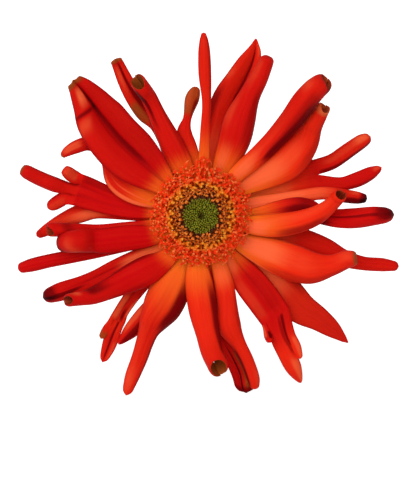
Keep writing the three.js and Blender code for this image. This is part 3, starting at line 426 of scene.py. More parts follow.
class GerberaStemSettings(bpy.types.PropertyGroup):
    """Sizes of the stem, its down and the bracts."""

    hair_density: FloatProperty(name="Hair density", description="Hairs on a square metre of stem",
                                default=3.2e6, min=0)
    hair_length: FloatProperty(name="Hair length", description="Length of a hair",
                               default=0.0005, unit="LENGTH")
    bract_thickness: FloatProperty(name="Bract thickness", description="Thickness of a bract",
                                   default=0.00035, unit="LENGTH")


class GerberaStageSettings(bpy.types.PropertyGroup):
    """The pale floor and the soft studio light."""

    floor_size: FloatProperty(name="Floor size", description="Width of the floor",
                              default=6, unit="LENGTH")
    key_strength: FloatProperty(name="Key strength", description="Strength of the soft key light",
                                default=1.75)
    fill_strength: FloatProperty(name="Fill strength", description="Strength of the front light",
                                 default=0.5)
    sky_strength: FloatProperty(name="Sky strength", description="Strength of the light all round",
                                default=0.3)


def smooth(value, low=0.0, high=1.0):
    """0 below low, 1 above high, and a soft step between."""
    share = np.clip((np.asarray(value, float) - low) / (high - low), 0, 1)
    return share * share * (3 - 2 * share)


def unit(vectors):
    """Vectors along the last axis at length 1."""
    return vectors / np.maximum(np.linalg.norm(vectors, axis=-1, keepdims=True), 1e-12)


def catmull(points, shares):
    """A centripetal Catmull-Rom curve through points, at shares of the way from 0 to 1."""
    points = np.asarray(points, float)
    padded = np.vstack([2 * points[0] - points[1], points, 2 * points[-1] - points[-2]])
    at = np.clip(shares, 0, 1) * (len(points) - 1)
    i = np.minimum(at.astype(int), len(points) - 2)
    f = (at - i)[:, None]
    before, start, end, after = (padded[i + k] for k in range(4))
    first, gap, third = (np.maximum(np.linalg.norm(b - a, axis=1), 1e-9)[:, None] ** 0.5
                         for a, b in ((before, start), (start, end), (end, after)))
    rise = end - start
    leave = ((start - before) / first - (end - before) / (first + gap) + rise / gap) * gap
    arrive = (rise / gap - (after - start) / (gap + third) + (after - end) / third) * gap
    return (start + leave * f + (3 * rise - 2 * leave - arrive) * f**2
            + (leave + arrive - 2 * rise) * f**3)


def keyed(values, shares):
    """Smooth values at shares of the way through evenly spread key values."""
    values = np.asarray(values, float)
    at = shares * (len(values) - 1)
    i = np.minimum(at.astype(int), len(values) - 2)
    f = at - i
    a, b, c, d = (values[np.clip(i + k, 0, len(values) - 1)] for k in (-1, 0, 1, 2))
    return b + 0.5 * f * (c - a + f * (2 * a - 5 * b + 4 * c - d + f * (3 * (b - c) + d - a)))


def between_keys(keys, shares, column):
    """Values of one column of keys, eased from key to key."""
    places = np.array([key[0] for key in keys], float)
    values = np.array([key[column] for key in keys], float)
    i = np.clip(np.searchsorted(places, shares, side="left") - 1, 0, len(places) - 2)
    f = smooth((shares - places[i]) / (places[i + 1] - places[i]))
    return values[i] + (values[i + 1] - values[i]) * f


class Head:
    """The flower head's own frame: right, up and front from its centre on the receptacle."""

    def __init__(self):
        lean = math.radians(HEAD_LEAN)
        self.axes = np.array([[1, 0, 0],
                              [0, math.sin(lean), math.cos(lean)],
                              [0, -math.cos(lean), math.sin(lean)]])
        verts = np.array([v.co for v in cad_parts["receptacle"].data.vertices])
        spots = verts @ self.axes.T
        low, high = spots.min(0), spots.max(0)
        middle = np.array([(low[0] + high[0]) / 2, (low[1] + high[1]) / 2,
                           high[2] - RECEPTACLE_TOP * MM])
        self.origin = middle @ self.axes

    def place(self, points):
        """Points given in mm in the head's frame, in the model's frame in metres."""
        return self.origin + MM * np.asarray(points) @ self.axes

    def matrix(self, spot=None):
        """The head's frame as a matrix in metres, at its centre or at another spot."""
        turned = Matrix(self.axes.T.tolist()).to_4x4()
        return Matrix.Translation(Vector(self.origin if spot is None else spot)) @ turned


HEAD = Head()


def polar(path):
    """Points (bearing, radius, depth) of the head's frame as right, up, front."""
    path = np.asarray(path, float)
    angle = np.radians(path[:, 0])
    return np.column_stack([path[:, 1] * np.cos(angle), path[:, 1] * np.sin(angle), path[:, 2]])


def tier_depth(tier, radius):
    """Depth of a tier of petals at a radius."""
    out = radius - FIRST_RADIUS
    return DISH * out - tier * (TIER_STEP + TIER_SPREAD * out)


def raised(path, tier):
    """A petal's path with its lifts made into depths of its tier."""
    return np.array([(bearing, radius, tier_depth(tier, radius) + sum(lift), width)
                     for bearing, radius, width, *lift in path], float)


def sections(shares, places, widths, roll, folds, ribs):
    """Cross-sections of a blade, one row for each share: how far across and how high."""
    left = np.radians(between_keys(roll, shares, 1))[:, None]
    right = np.radians(between_keys(roll, shares, 2))[:, None]
    side = np.where(places < 0, left, right)
    power = EDGE_ROLL + (1 - EDGE_ROLL) * smooth(np.abs(side), math.radians(90), math.radians(150))
    turn = side * np.sign(places) * np.abs(places) ** power
    for near, far, turns, spread in folds:
        middle = (near + (far - near) * shares)[:, None]
        size = np.radians(np.interp(shares, [0, 0.5, 1], turns))[:, None]
        step = np.tanh((places - middle) / spread)
        turn = turn + 0.5 * size * (step - step.mean(axis=1, keepdims=True))
    gap = np.diff(places)
    half = 0.5 * (turn[:, 1:] + turn[:, :-1])
    zero = np.zeros((len(shares), 1))
    across = np.hstack([zero, np.cumsum(np.cos(half) * gap, axis=1)])
    up = np.hstack([zero, np.cumsum(np.sin(half) * gap, axis=1)])
    low, high = across.min(1, keepdims=True), across.max(1, keepdims=True)
    scale = widths[:, None] / (high - low)
    across = (across - (low + high) / 2) * scale
    up = (up - up.min(1, keepdims=True)) * scale
    return across, up + ribs


def rib_relief(shares, places, seed, height):
    """Fine ribs that run along a blade and fade at its edges and claw."""
    shares = shares[:, None]
    wander = 0.6 * np.sin(5 * shares + seed) + 0.5 * np.sin(11 * shares + 2 * seed)
    wave = np.cos(15 * places + wander + seed) + 0.6 * np.cos(26 * places - wander + 3 * seed)
    return height * wave * (1 - places**4) * smooth(shares, 0, 0.15)


def hollows(up, widths):
    """How deep each point lies in a valley (plus) or stands on a ridge (minus), from -1 to 1."""
    reach = 4
    padded = np.pad(up, ((0, 0), (reach, reach)), mode="edge")
    around = (padded[:, 2 * reach:] + padded[:, : -2 * reach]) / 2
    depth = around - up
    depth[:, :reach] = depth[:, [reach]]
    depth[:, -reach:] = depth[:, [-reach - 1]]
    return np.clip(depth / (0.035 * widths[:, None]), -1, 1)


def carried(facing, along):
    """A facing direction carried along a curve, square to it everywhere."""
    made = []
    normal = np.asarray(facing, float)
    for direction in along:
        normal = unit(normal - direction * normal.dot(direction))
        made.append(normal)
    return np.array(made)


def end_cap(path, shares, length, spec):
    """Shares of the width that round a strip's end off, as (length, how much of it stays open)."""
    if "fingers" in spec:
        return np.ones(len(shares))
    reach, opening = spec.get("cap", (0.5 * path[-2][3], 0.1))
    left = np.clip((1 - shares) * length / reach, 0, 1)
    return opening + (1 - opening) * np.sqrt(1 - (1 - left) ** 2)


def strip(path, spec, places, rows, facing, seed, rib_height):
    """A blade or finger as a grid of points in mm, with its hollows and last facing direction."""
    shares = 1 - (1 - np.linspace(0, 1, rows + 1)) ** ROW_CROWDING
    way = catmull(polar(path), shares)
    along = unit(np.gradient(way, shares, axis=0))
    normals = carried(facing, along)
    right = np.cross(along, normals)
    length = np.linalg.norm(np.diff(way, axis=0), axis=1).sum()
    widths = np.maximum(keyed(path[:, 3], shares), LEAST_WIDTH)
    widths = widths * end_cap(path, shares, length, spec)
    ribs = rib_relief(shares, places, seed, rib_height)
    roll = spec["roll"] if spec["roll"][0][0] == 0 else [CLAW_ROLL, *spec["roll"]]
    across, up = sections(shares, places, widths, roll, spec.get("folds", []), ribs)
    grid = way[:, None] + across[..., None] * right[:, None] + up[..., None] * normals[:, None]
    return dict(grid=grid, shares=shares, hollow=hollows(up, widths), facing=normals[-1],
                length=length, way=way)


def trimmed(made, places, spec):
    """Cuts the end of a strip to a round tip, or to a slanting mouth where it is rolled up."""
    cut = spec.get("tip", 0) / made["length"] * np.abs(places) ** 2.2
    if "mouth" in spec:
        depth, middle, spread = spec["mouth"]
        near = np.clip((places - middle) / spread, -1, 1)
        cut = cut + depth / made["length"] * (1 - near**2) ** 2
    shares = made["shares"]
    for j, short in enumerate(cut):
        ends = shares * (1 - short)
        for key in ("grid", "hollow"):
            values = made[key][:, j].reshape(len(shares), -1)
            moved = [np.interp(ends, shares, column) for column in values.T]
            made[key][:, j] = np.array(moved).T.reshape(made[key][:, j].shape)
    return made


class Sheet:
    """Points, four-sided cells and surface values of one piece, before it gets its thickness."""

    VALUES = ("across", "tone", "glow", "brown", "hollow", "reach", "shade")

    def __init__(self):
        self.points = []
        self.cells = []
        self.values = {name: [] for name in self.VALUES}

    def add(self, grid, values, last=None):
        """Adds a grid's rows, joined to a row that the sheet has, and returns the last row."""
        for i, row in enumerate(grid):
            first = len(self.points)
            self.points.extend(row)
            for name in self.VALUES:
                self.values[name].extend(values[name][i])
            ids = list(range(first, first + len(row)))
            if last is not None:
                self.cells.extend(zip(last[1:], last, ids, ids[1:]))
            last = ids
        return last

    def shell(self, thickness, thinning, start):
        """A closed shell around the sheet, thinner from a share of its half width to its edges."""
        thin = 1 - thinning * smooth(np.abs(self.values["across"]), start, 1)
        return thickened(np.array(self.points), np.array(self.cells), thickness / MM * thin)


def surface_values(spec, made, places, claw_glow, tones):
    """The values that the petal's material reads, over one strip."""
    shares = made["shares"][:, None] * np.ones(len(places))
    radius = np.hypot(made["grid"][..., 0], made["grid"][..., 1])
    glow = 1 - smooth(radius, GLOW_START, claw_glow)
    brown = np.zeros(shares.shape)
    if spec.get("brown"):
        brown = 1 - smooth((1 - shares) * made["length"], 0.3 * spec["brown"], 1.6 * spec["brown"])
    for start, end, place, spread, amount in spec.get("patches", []):
        over = stretch(shares, start, end, 0, PATCH_EDGE)
        beside = 1 - smooth(np.abs(places - place), 0.6 * spread, 1.2 * spread)
        brown = np.maximum(brown, amount * over * beside)
    return dict(across=np.broadcast_to(places, shares.shape), glow=glow, brown=brown,
                tone=np.interp(shares, [0.15, 0.5, 1], tones), hollow=made["hollow"], reach=radius,
                shade=stroked(spec.get("strokes", []), shares, places))


def stretch(shares, start, end, before, after):
    """1 from start to end, easing in and out from before each of them to after it."""
    return (smooth(shares, start - before, start + after)
            * (1 - smooth(shares, end - before, end + after)))


def stroked(strokes, shares, places):
    """How much darker, plus, or lighter, minus, the strokes make a blade: painted shade and painted
    highlight, with some of the petal's own deeper red and paler tips.
    """
    shade = np.zeros(shares.shape)
    for start, end, near, spread, amount, *moved in strokes:
        far = moved[0] if moved else near
        ramp = min(0.1, (end - start) / 2)
        along = stretch(shares, start, end, ramp, ramp)
        middle = near + (far - near) * np.clip((shares - start) / (end - start), 0, 1)
        beside = 1 - smooth(np.abs(places - middle), 0.4 * spread, 1.5 * spread)
        shade = shade + amount * along * beside
    return shade


def petal_sheet(number, spec, settings):
    """The sheet of one ray petal with its fingers, in mm in the head's frame."""
    columns = settings.columns
    places = np.linspace(-1, 1, columns + 1)
    height = settings.rib_height / MM
    fingers = spec.get("fingers", [])
    rows = settings.rows * 2 // 3 if fingers else settings.rows
    blade = strip(raised(spec["path"], spec["tier"]), spec, places, rows, (0, 0, 1), number, height)
    if not fingers:
        trimmed(blade, places, spec)
    sheet = Sheet()
    values = surface_values(spec, blade, places, spec["glow"], spec["tone"])
    last = sheet.add(blade["grid"], values)
    for finger in fingers:
        first, end = round(finger["start"] * columns), round(finger["end"] * columns)
        own = last[first : end + 1]
        edge = np.array([sheet.points[k] for k in own])
        middle = (edge[0] + edge[-1]) / 2
        begin = (math.degrees(math.atan2(middle[1], middle[0])), math.hypot(middle[0], middle[1]),
                 middle[2], np.linalg.norm(edge[-1] - edge[0]))
        path = raised(finger["path"], spec["tier"])
        near = path[0][0] - begin[0]
        begin = (begin[0] + 360 * round(near / 360), *begin[1:])
        spots = np.linspace(-1, 1, len(own))
        part = strip(np.vstack([begin, path]), finger, spots, settings.rows // 2,
                     blade["facing"], number, height)
        part["grid"] = joined_smoothly(part, edge)
        trimmed(part, spots, finger)
        tones = (spec["tone"][2], finger["tone"], finger["tone"])
        values = surface_values(finger, part, spots, spec["glow"], tones)
        sheet.add(part["grid"][1:], {name: value[1:] for name, value in values.items()}, own)
    return sheet


def joined_smoothly(part, edge):
    """A finger's grid that starts with the blade's own edge and takes its own form further on."""
    moved = edge[None] + (part["way"] - part["way"][0])[:, None]
    weight = smooth(part["shares"], 0, 0.4)[:, None, None]
    return moved * (1 - weight) + part["grid"] * weight


def sheet_normals(points, cells):
    """Normals at a sheet's points."""
    corners = points[cells]
    faces = np.cross(corners[:, 2] - corners[:, 0], corners[:, 3] - corners[:, 1])
    normals = np.zeros_like(points)
    for k in range(4):
        np.add.at(normals, cells[:, k], faces)
    return unit(normals)


def thickened(points, cells, thickness):
    """Points and faces of a closed shell around a sheet, with the sheet's rim walled in."""
    normals = sheet_normals(points, cells)
    offset = 0.5 * thickness[:, None] * normals
    count = len(points)
    steps = np.concatenate([cells[:, [k, (k + 1) % 4]] for k in range(4)])
    codes = steps[:, 0] * count + steps[:, 1]
    alone = steps[~np.isin(codes, steps[:, 1] * count + steps[:, 0])]
    walls = np.column_stack([alone[:, 0], alone[:, 0] + count, alone[:, 1] + count, alone[:, 1]])
    shell = np.vstack([points + offset, points - offset])
    return shell, np.vstack([cells, cells[:, ::-1] + count, walls])


def linked(name, data, collection=None):
    """A new object in a collection, or else in the scene's own."""
    made = bpy.data.objects.new(name, data)
    (collection or bpy.context.scene.collection).objects.link(made)
    return made


def carry(mesh, values):
    """Gives a mesh's points their values, each under its name."""
    for name, numbers in values.items():
        attribute = mesh.attributes.new(name, "FLOAT", "POINT")
        attribute.data.foreach_set("value", np.asarray(numbers, np.float32))


def make_piece(name, points, faces, material, **values):
    """A smooth mesh object at the origin, from points in metres."""
    mesh = bpy.data.meshes.new(name)
    mesh.from_pydata(np.asarray(points).tolist(), [], [list(face) for face in faces])
    mesh.validate()
    carry(mesh, values)
    mesh.shade_smooth()
    mesh.materials.append(material)
    return linked(name, mesh)


def settle(piece, slot, *nodes):
    """Ties a piece to the model's root and hides the nodes it stands for; the slot is not used."""
    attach(piece, "root")
    if nodes:
        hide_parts(*nodes)
    return piece


class Value:
    """What a node puts out. Adding it, multiplying it and so on make the math nodes."""

    def __init__(self, maker, socket):
        self.maker, self.socket = maker, socket

    def __add__(self, other):
        return self.maker.math("ADD", self, other)

    def __sub__(self, other):
        return self.maker.math("SUBTRACT", self, other)

    def __mul__(self, other):
        return self.maker.math("MULTIPLY", self, other)

    def __truediv__(self, other):
        return self.maker.math("DIVIDE", self, other)


class NodeMaker:
    """Short calls for building a node tree."""

    def __init__(self, tree):
        self.tree = tree

    def feed(self, socket, value):
        """Links a socket to a value of the tree, or sets its number, vector, colour or text."""
        if isinstance(value, Value):
            self.tree.links.new(value.socket, socket)
        else:
            socket.default_value = value

    def fill(self, node, inputs):
        """Feeds a node's inputs by name, with _ for a space."""
        for label, value in inputs.items():
            self.feed(node.inputs[label.replace("_", " ")], value)
        return node

    def node(self, kind, *values, **settings):
        """A node, its inputs fed in order or by their capitalised names and its options set."""
        made = self.tree.nodes.new(kind)
        inputs = {key: value for key, value in settings.items() if key[0].isupper()}
        for key, value in settings.items():
            if key not in inputs:
                setattr(made, key, value)
        for socket, value in zip(made.inputs, values):
            self.feed(socket, value)
        return self.fill(made, inputs)

    def value(self, kind, *values, out=0, **settings):
        """What a new node puts out."""
        return Value(self, self.node(kind, *values, **settings).outputs[out])

    def math(self, operation, *values):
        return self.value("ShaderNodeMath", *values, operation=operation)

    def vector(self, x, y, z):
        return self.value("ShaderNodeCombineXYZ", x, y, z)


class Group(NodeMaker):
    """A new node group. An input is the default of a float, or a kind of socket."""

    def __init__(self, kind, name, **inputs):
        super().__init__(bpy.data.node_groups.new(name, kind + "NodeTree"))
        self.identifiers = {}
        for label, default in inputs.items():
            own_kind = default if isinstance(default, str) else "Float"
            socket = self.tree.interface.new_socket(
                name=label.replace("_", " ").capitalize(), in_out="INPUT",
                socket_type="NodeSocket" + own_kind)
            if own_kind != default:
                socket.default_value = default
            self.identifiers[label] = socket.identifier
        given = self.tree.nodes.new("NodeGroupInput").outputs
        values = {label: Value(self, given[k]) for k, label in enumerate(inputs)}
        self.given = SimpleNamespace(**values)

    def finish(self, kind, **outputs):
        """Ends the group with its named outputs."""
        for label in outputs:
            self.tree.interface.new_socket(name=label, in_out="OUTPUT",
                                           socket_type="NodeSocket" + kind)
        self.node("NodeGroupOutput", **outputs)


class Painter(NodeMaker):
    """Short calls for colours and patterns in a shader tree."""

    def mix(self, factor, first, second):
        """A mix of two colours, each a value or three numbers."""
        node = self.node("ShaderNodeMix", data_type="RGBA", clamp_factor=True, Factor=factor)
        for k, colour in ((MIX_FIRST, first), (MIX_SECOND, second)):
            self.feed(node.inputs[k], colour if isinstance(colour, Value) else (*colour[:3], 1))
        return Value(self, node.outputs[MIX_RESULT])

    def layered(self, colour, *layers):
        """A colour under other colours, each laid on by its amount."""
        for amount, over in layers:
            colour = self.mix(amount, colour, over)
        return colour

    def eased(self, value, low, high, to_low=0.0, to_high=1.0):
        """A value's range mapped to another, clamped and eased."""
        return self.value("ShaderNodeMapRange", value, low, high, to_low, to_high,
                          interpolation_type="SMOOTHSTEP")

    def noise(self, place, scale, detail=2.0, roughness=0.5):
        return self.value("ShaderNodeTexNoise", Vector=place, Scale=scale, Detail=detail,
                          Roughness=roughness)

    def place(self):
        """Where a point lies on the object."""
        return self.value("ShaderNodeTexCoord", out="Object")

    def attribute(self, name):
        """The value that the mesh carries under a name."""
        return self.value("ShaderNodeAttribute", attribute_name=name, out="Fac")

    def wavered(self, value, pattern, amount):
        """A value that a pattern from 0 to 1 moves up and down by half an amount."""
        return value + (pattern - 0.5) * amount


class ShaderGroup(Group, Painter):
    """A shader group that materials share."""


def veins_group():
    """Fine lines along a leaf or petal, from how far across and how far out a point lies."""
    veins = ShaderGroup("Shader", "lengthwise_veins", across=0.0, reach=0.0, lines=9.0, drift=0.12)
    given, place = veins.given, veins.place()
    combed = veins.vector(given.across * given.lines, given.reach * given.drift, 0.0)
    shifted = veins.value("ShaderNodeVectorMath", place, (25, 25, 25), combed,
                          operation="MULTIPLY_ADD")
    veins.finish("Float", Lines=veins.eased(veins.noise(shifted, 1.0, 3, 0.6), 0.3, 0.7),
                 Blotches=veins.eased(veins.noise(place, 260), 0.3, 0.7))


def skin_cells_group():
    """The papery cell grain of a plant's skin, as a height."""
    skin = ShaderGroup("Shader", "skin_cells", size=1.0)
    sized = skin.value("ShaderNodeVectorMath", skin.place(), operation="SCALE",
                       Scale=skin.given.size)
    cells = skin.value("ShaderNodeTexVoronoi", sized, out="Distance", Scale=6000)
    skin.finish("Float", Height=cells + skin.noise(sized, 2500))


class Material(Painter):
    """A new material with its Principled shader, whose constants are given by name."""

    def __init__(self, name, **constants):
        self.material = bpy.data.materials.new(name)
        self.material.use_nodes = True
        super().__init__(self.material.node_tree)
        self.shader = self.fill(self.tree.nodes["Principled BSDF"], constants)

    def group(self, name, **inputs):
        """What a shared group puts out."""
        node = self.tree.nodes.new("ShaderNodeGroup")
        node.node_tree = bpy.data.node_groups[name]
        self.fill(node, inputs)
        return [Value(self, socket) for socket in node.outputs]

    def veins(self, **inputs):
        """The lines and blotches along a leaf, petal or stem."""
        return self.group("lengthwise_veins", Across=self.attribute("across"),
                          Reach=self.attribute("reach"), **inputs)

    def cells(self, size=1.0):
        """The height of the skin's cell grain."""
        return self.group("skin_cells", Size=size)[0]

    def finish(self, colour, roughness, relief, strength, distance):
        """Feeds the shader its colour, its roughness and the relief in its normal."""
        bump = self.value("ShaderNodeBump", Strength=strength, Distance=distance, Height=relief)
        self.fill(self.shader, dict(Base_Color=colour, Roughness=roughness, Normal=bump))
        return self.material


def petal_material(settings):
    """Waxy red petal skin: amber claws, painted shade in valleys, painted highlights on ridges, brown
    tips, dull backs.
    """
    made = Material("petal_skin", Specular_IOR_Level=0.15, Specular_Tint=(1.0, 0.12, 0.1, 1),
                    Subsurface_Weight=0.06, Subsurface_Radius=(1.0, 0.12, 0.06),
                    Subsurface_Scale=0.0005)
    lines, blotches = made.veins()
    hollow, shade, inside = (made.attribute(name) for name in ("hollow", "shade", "inside"))
    tone = made.wavered(made.attribute("tone"), lines, 0.08)
    glow = made.wavered(made.attribute("glow"), lines, 0.12)
    edge = made.math("ABSOLUTE", made.attribute("across"))
    front = made.layered(
        # Tone is partly the petal's own colour and partly painted light: deeper on petals facing away
        # from the key light, lighter where neighbours shade them
        made.mix(tone * tone, settings.crimson, settings.scarlet),
        (made.eased(glow, 0.0, 0.95), settings.orange),
        (made.eased(glow, 0.8, 1.1), settings.amber),
        # Painted shade in the valleys and a painted highlight on the ridges, by how deep each point
        # lies
        (made.eased(hollow, 0.0, 0.9) * 0.45, VALLEY_SHADE_RED),
        (made.eased(hollow, 0.0, -0.9) * 0.12, settings.scarlet),
        # Painted shade along the edges
        (made.eased(edge, 0.82, 1.0) * 0.5, EDGE_SHADE_RED),
        (made.attribute("rust"), RUST),
        (made.attribute("brown") * made.eased(blotches, 0.0, 1.0, 0.8, 1.0), settings.brown),
        # Strokes: painted highlight below 0, painted shade above 0
        (made.eased(shade, 0.0, -1.0), settings.salmon_highlight),
        (made.eased(shade, 0.0, 1.0), settings.maroon_shade),
        # Strokes past 1 turn to a nearly black painted shadow
        (made.eased(shade, 1.0, 2.0), BLACK_SHADOW_RED))
    back = made.layered(
        settings.underside,
        (made.eased(lines, 0.2, 0.8, 0.0, 0.5), UNDERSIDE_LINES),
        (inside, settings.brown),
        # Where inside is below 0, painted shade within the rolled tip
        (inside * -1.0, MOUTH_SHADE_RED))
    return made.finish(made.mix(made.attribute("under"), front, back),
                       roughness=made.eased(blotches, 0.0, 1.0, 0.42, 0.54),
                       relief=lines + made.cells() * 0.25, strength=0.25, distance=0.00006)


def petal_piece(number, spec, settings, material):
    """One finished ray petal."""
    sheet = petal_sheet(number, spec, settings)
    count = len(sheet.points)
    shell, faces = sheet.shell(settings.thickness, thinning=0.55, start=0.8)
    values = {name: np.tile(numbers, 2) for name, numbers in sheet.values.items()}
    values["under"] = np.repeat([1.0, 0.0], count)
    for name in ("rust", "inside"):
        values[name] = np.full(2 * count, spec.get(name, 0.0))
    piece = make_piece(f"ray_petal_{number:02d}", HEAD.place(shell), faces, material, **values)
    return settle(piece, "petal", f"petal_{number:02d}")


class GERBERA_OT_ray_petals(bpy.types.Operator):
    """Makes the 31 ray petals."""

    bl_idname = "gerbera.ray_petals"
    bl_label = "Ray petals"

    def execute(self, context):
        settings = context.scene.gerbera_petals
        material = petal_material(settings)
        for number, spec in PETALS.items():
            petal_piece(number, spec, settings, material)
        return {"FINISHED"}


def lathe(profile, sides):
    """Points and faces of a closed turned body, from (radius, height) points from pole to pole."""
    angles = np.linspace(0, 2 * np.pi, sides, endpoint=False)
    points = [(0, 0, profile[0][1])]
    for radius, height in profile[1:-1]:
        points.extend((radius * math.cos(angle), radius * math.sin(angle), height)
                      for angle in angles)
    points.append((0, 0, profile[-1][1]))
    last = len(points) - 1
    faces = []
    for k in range(sides):
        here, beside = 1 + k, 1 + (k + 1) % sides
        faces.append((0, beside, here))
        faces.extend((here + i, beside + i, beside + i + sides, here + i + sides)
                     for i in range(0, (len(profile) - 3) * sides, sides))
        faces.append((last, last - sides + k, last - sides + (k + 1) % sides))
    return np.array(points, float), faces


def lobe(length, width, lean, curl, roll, base, rows=7, columns=4):
    """A floret's lobe in mm: it leaves its base at a lean and curls on, with its edges rolled."""
    shares = np.linspace(0, 1, rows + 1)
    turn = lean + curl * shares**1.3
    step = length / rows
    out = base + np.concatenate([[0], np.cumsum(np.sin(turn[:-1]) * step)])
    rise = np.concatenate([[0], np.cumsum(np.cos(turn[:-1]) * step)])
    places = np.linspace(-1, 1, columns + 1)
    wide = 0.5 * width * (0.7 + 0.3 * np.sin(np.pi * shares)) * np.sqrt(1 - 0.75 * shares**6)
    across = np.sin(roll * places) / roll
    lift = (1 - np.cos(roll * places)) / roll
    grid = np.zeros((rows + 1, columns + 1, 3))
    grid[..., 0] = out[:, None] - np.cos(turn)[:, None] * lift * wide[:, None]
    grid[..., 1] = -across * wide[:, None]
    grid[..., 2] = rise[:, None] + np.sin(turn)[:, None] * lift * wide[:, None]
    return grid, shares


class FloretMesh:
    """Collects the lobes and bodies of one floret, in mm around its own axis."""

    def __init__(self):
        self.points = np.zeros((0, 3))
        self.faces = []
        self.tip = []
        self.core = []

    def body(self, points, faces, tips, core=0.0):
        """Adds a closed body with its tip values and what share of it is core."""
        first = len(self.points)
        self.points = np.vstack([self.points, points])
        self.faces.extend(tuple(int(k) + first for k in face) for face in faces)
        self.tip.extend(tips)
        self.core.extend([core] * len(points))

    def turned(self, profile, sides=8, core=0.0, shift=(0, 0, 0)):
        """Adds a turned body, its tip value rising with its height."""
        points, faces = lathe(profile, sides)
        heights = points[:, 2]
        tips = (heights - heights.min()) / (heights.max() - heights.min())
        self.body(points + shift, faces, tips, core)

    def lobe(self, bearing, **form):
        """Adds a lobe turned to a bearing."""
        grid, shares = lobe(**form)
        rows, columns = grid.shape[0] - 1, grid.shape[1] - 1
        ids = np.arange(grid.shape[0] * grid.shape[1]).reshape(grid.shape[:2])
        cells = np.array([(ids[i, j + 1], ids[i, j], ids[i + 1, j], ids[i + 1, j + 1])
                          for i in range(rows) for j in range(columns)])
        cosine, sine = math.cos(bearing), math.sin(bearing)
        turned = grid.reshape(-1, 3) @ np.array([[cosine, sine, 0], [-sine, cosine, 0], [0, 0, 1]])
        points, faces = thickened(turned, cells, np.full(len(turned), LOBE_THICKNESS))
        self.body(points, faces, np.tile(np.repeat(shares, columns + 1), 2))

    def helper(self, name, collection=None):
        """An object for the node tree to copy, in metres."""
        mesh = bpy.data.meshes.new(name)
        mesh.from_pydata((self.points * MM).tolist(), [], self.faces)
        carry(mesh, dict(tip=self.tip, core=self.core))
        mesh.shade_smooth()
        return linked(name, mesh, collection)


def bud_forms():
    """Two plump pointed buds."""
    for width, height in ((0.26, 0.95), (0.235, 0.8)):
        floret = FloretMesh()
        floret.turned([(0, -0.4), (0.18, -0.3), (width, 0.05), (width * 0.95, 0.3),
                       (width * 0.6, height * 0.72), (width * 0.22, height * 0.93), (0, height)])
        yield floret


def disc_forms():
    """Two long buds about to open, then two opened florets."""
    for height in (1.25, 1.05):
        floret = FloretMesh()
        for side in (-0.15, 0.15):
            floret.turned([(0, -0.5), (0.12, -0.4), (0.17, 0.2), (0.21, height * 0.6),
                           (0.2, height * 0.85), (0.11, height * 0.98), (0, height)],
                          shift=(0, side, 0))
        floret.turned([(0, 0), (0.1, 0.1), (0.1, height * 0.85), (0, height * 0.9)], core=1.0)
        yield floret
    for lobes, turn, lean in ((5, 0.4, 0.35), (4, 1.1, 0.55)):
        floret = FloretMesh()
        floret.turned([(0, -0.5), (0.16, -0.4), (0.2, 0), (0.24, 0.35), (0.12, 0.3), (0, 0.2)])
        floret.turned([(0, 0), (0.12, 0.1), (0.14, 0.6), (0.1, 0.9), (0, 0.95)], core=1.0)
        for k in range(lobes):
            floret.lobe(turn + 2 * math.pi * k / lobes, length=0.95 + 0.15 * (k % 2), width=0.34,
                        lean=lean, curl=2.3, roll=0.7, base=0.18, rows=6, columns=3)
        yield floret


def trans_forms():
    """Four small two-lipped florets with curled lobes."""
    for lobes, length, curl, lean, roll in (
        (((0.1, 1), (2.6, 0.7), (3.7, 0.7)), 1.7, 2.9, 0.1, 0.9),
        (((-0.3, 1), (0.5, 0.8), (3.2, 0.6)), 1.5, 2.4, 0.35, 1.0),
        (((0.4, 0.9), (-0.5, 0.9), (2.9, 0.8)), 1.35, 3.3, 0.0, 0.8),
        (((0, 1.1), (1.9, 0.6), (4.2, 0.6)), 1.75, 2.0, 0.2, 1.2),
    ):
        floret = FloretMesh()
        floret.turned([(0, -0.4), (0.17, -0.3), (0.2, 0), (0.24, 0.3), (0.12, 0.25), (0, 0.15)])
        for bearing, share in lobes:
            floret.lobe(bearing, length=length * share, width=0.6, lean=lean, curl=curl, roll=roll,
                        base=0.15)
        yield floret


def tube_form():
    """A floret's tube, 1 mm long, to be stretched down to its foot."""
    floret = FloretMesh()
    floret.turned([(0, -1), (0.13, -0.98), (0.17, -0.5), (0.17, 0), (0, 0.02)], sides=6)
    floret.tip = [0.0] * len(floret.tip)
    return floret


class GrowthTree(Group):
    """A geometry node tree that grows many copies of small forms."""

    def __init__(self, name, **inputs):
        super().__init__("Geometry", name, **inputs)

    def random(self, low, high, seed):
        """A random number for each element."""
        made = self.node("FunctionNodeRandomValue", data_type="FLOAT")
        shown = {socket.name: socket for socket in made.inputs if socket.enabled}
        for label, value in (("Min", low), ("Max", high), ("Seed", seed)):
            self.feed(shown[label], value)
        return Value(self, next(socket for socket in made.outputs if socket.enabled))

    def turned(self, x, y, z):
        """A rotation from its angles."""
        return self.value("FunctionNodeEulerToRotation", self.vector(x, y, z))

    def spun(self, rotation, turn):
        """A rotation after a turn of its own."""
        return self.value("FunctionNodeRotateRotation", rotation, turn, rotation_space="LOCAL")

    def paint(self, geometry):
        """Realizes the instances, gives them their material and ends the tree."""
        real = self.value("GeometryNodeRealizeInstances", geometry)
        painted = self.value("GeometryNodeSetMaterial", real, Material=self.given.material)
        self.finish("Geometry", Geometry=painted)


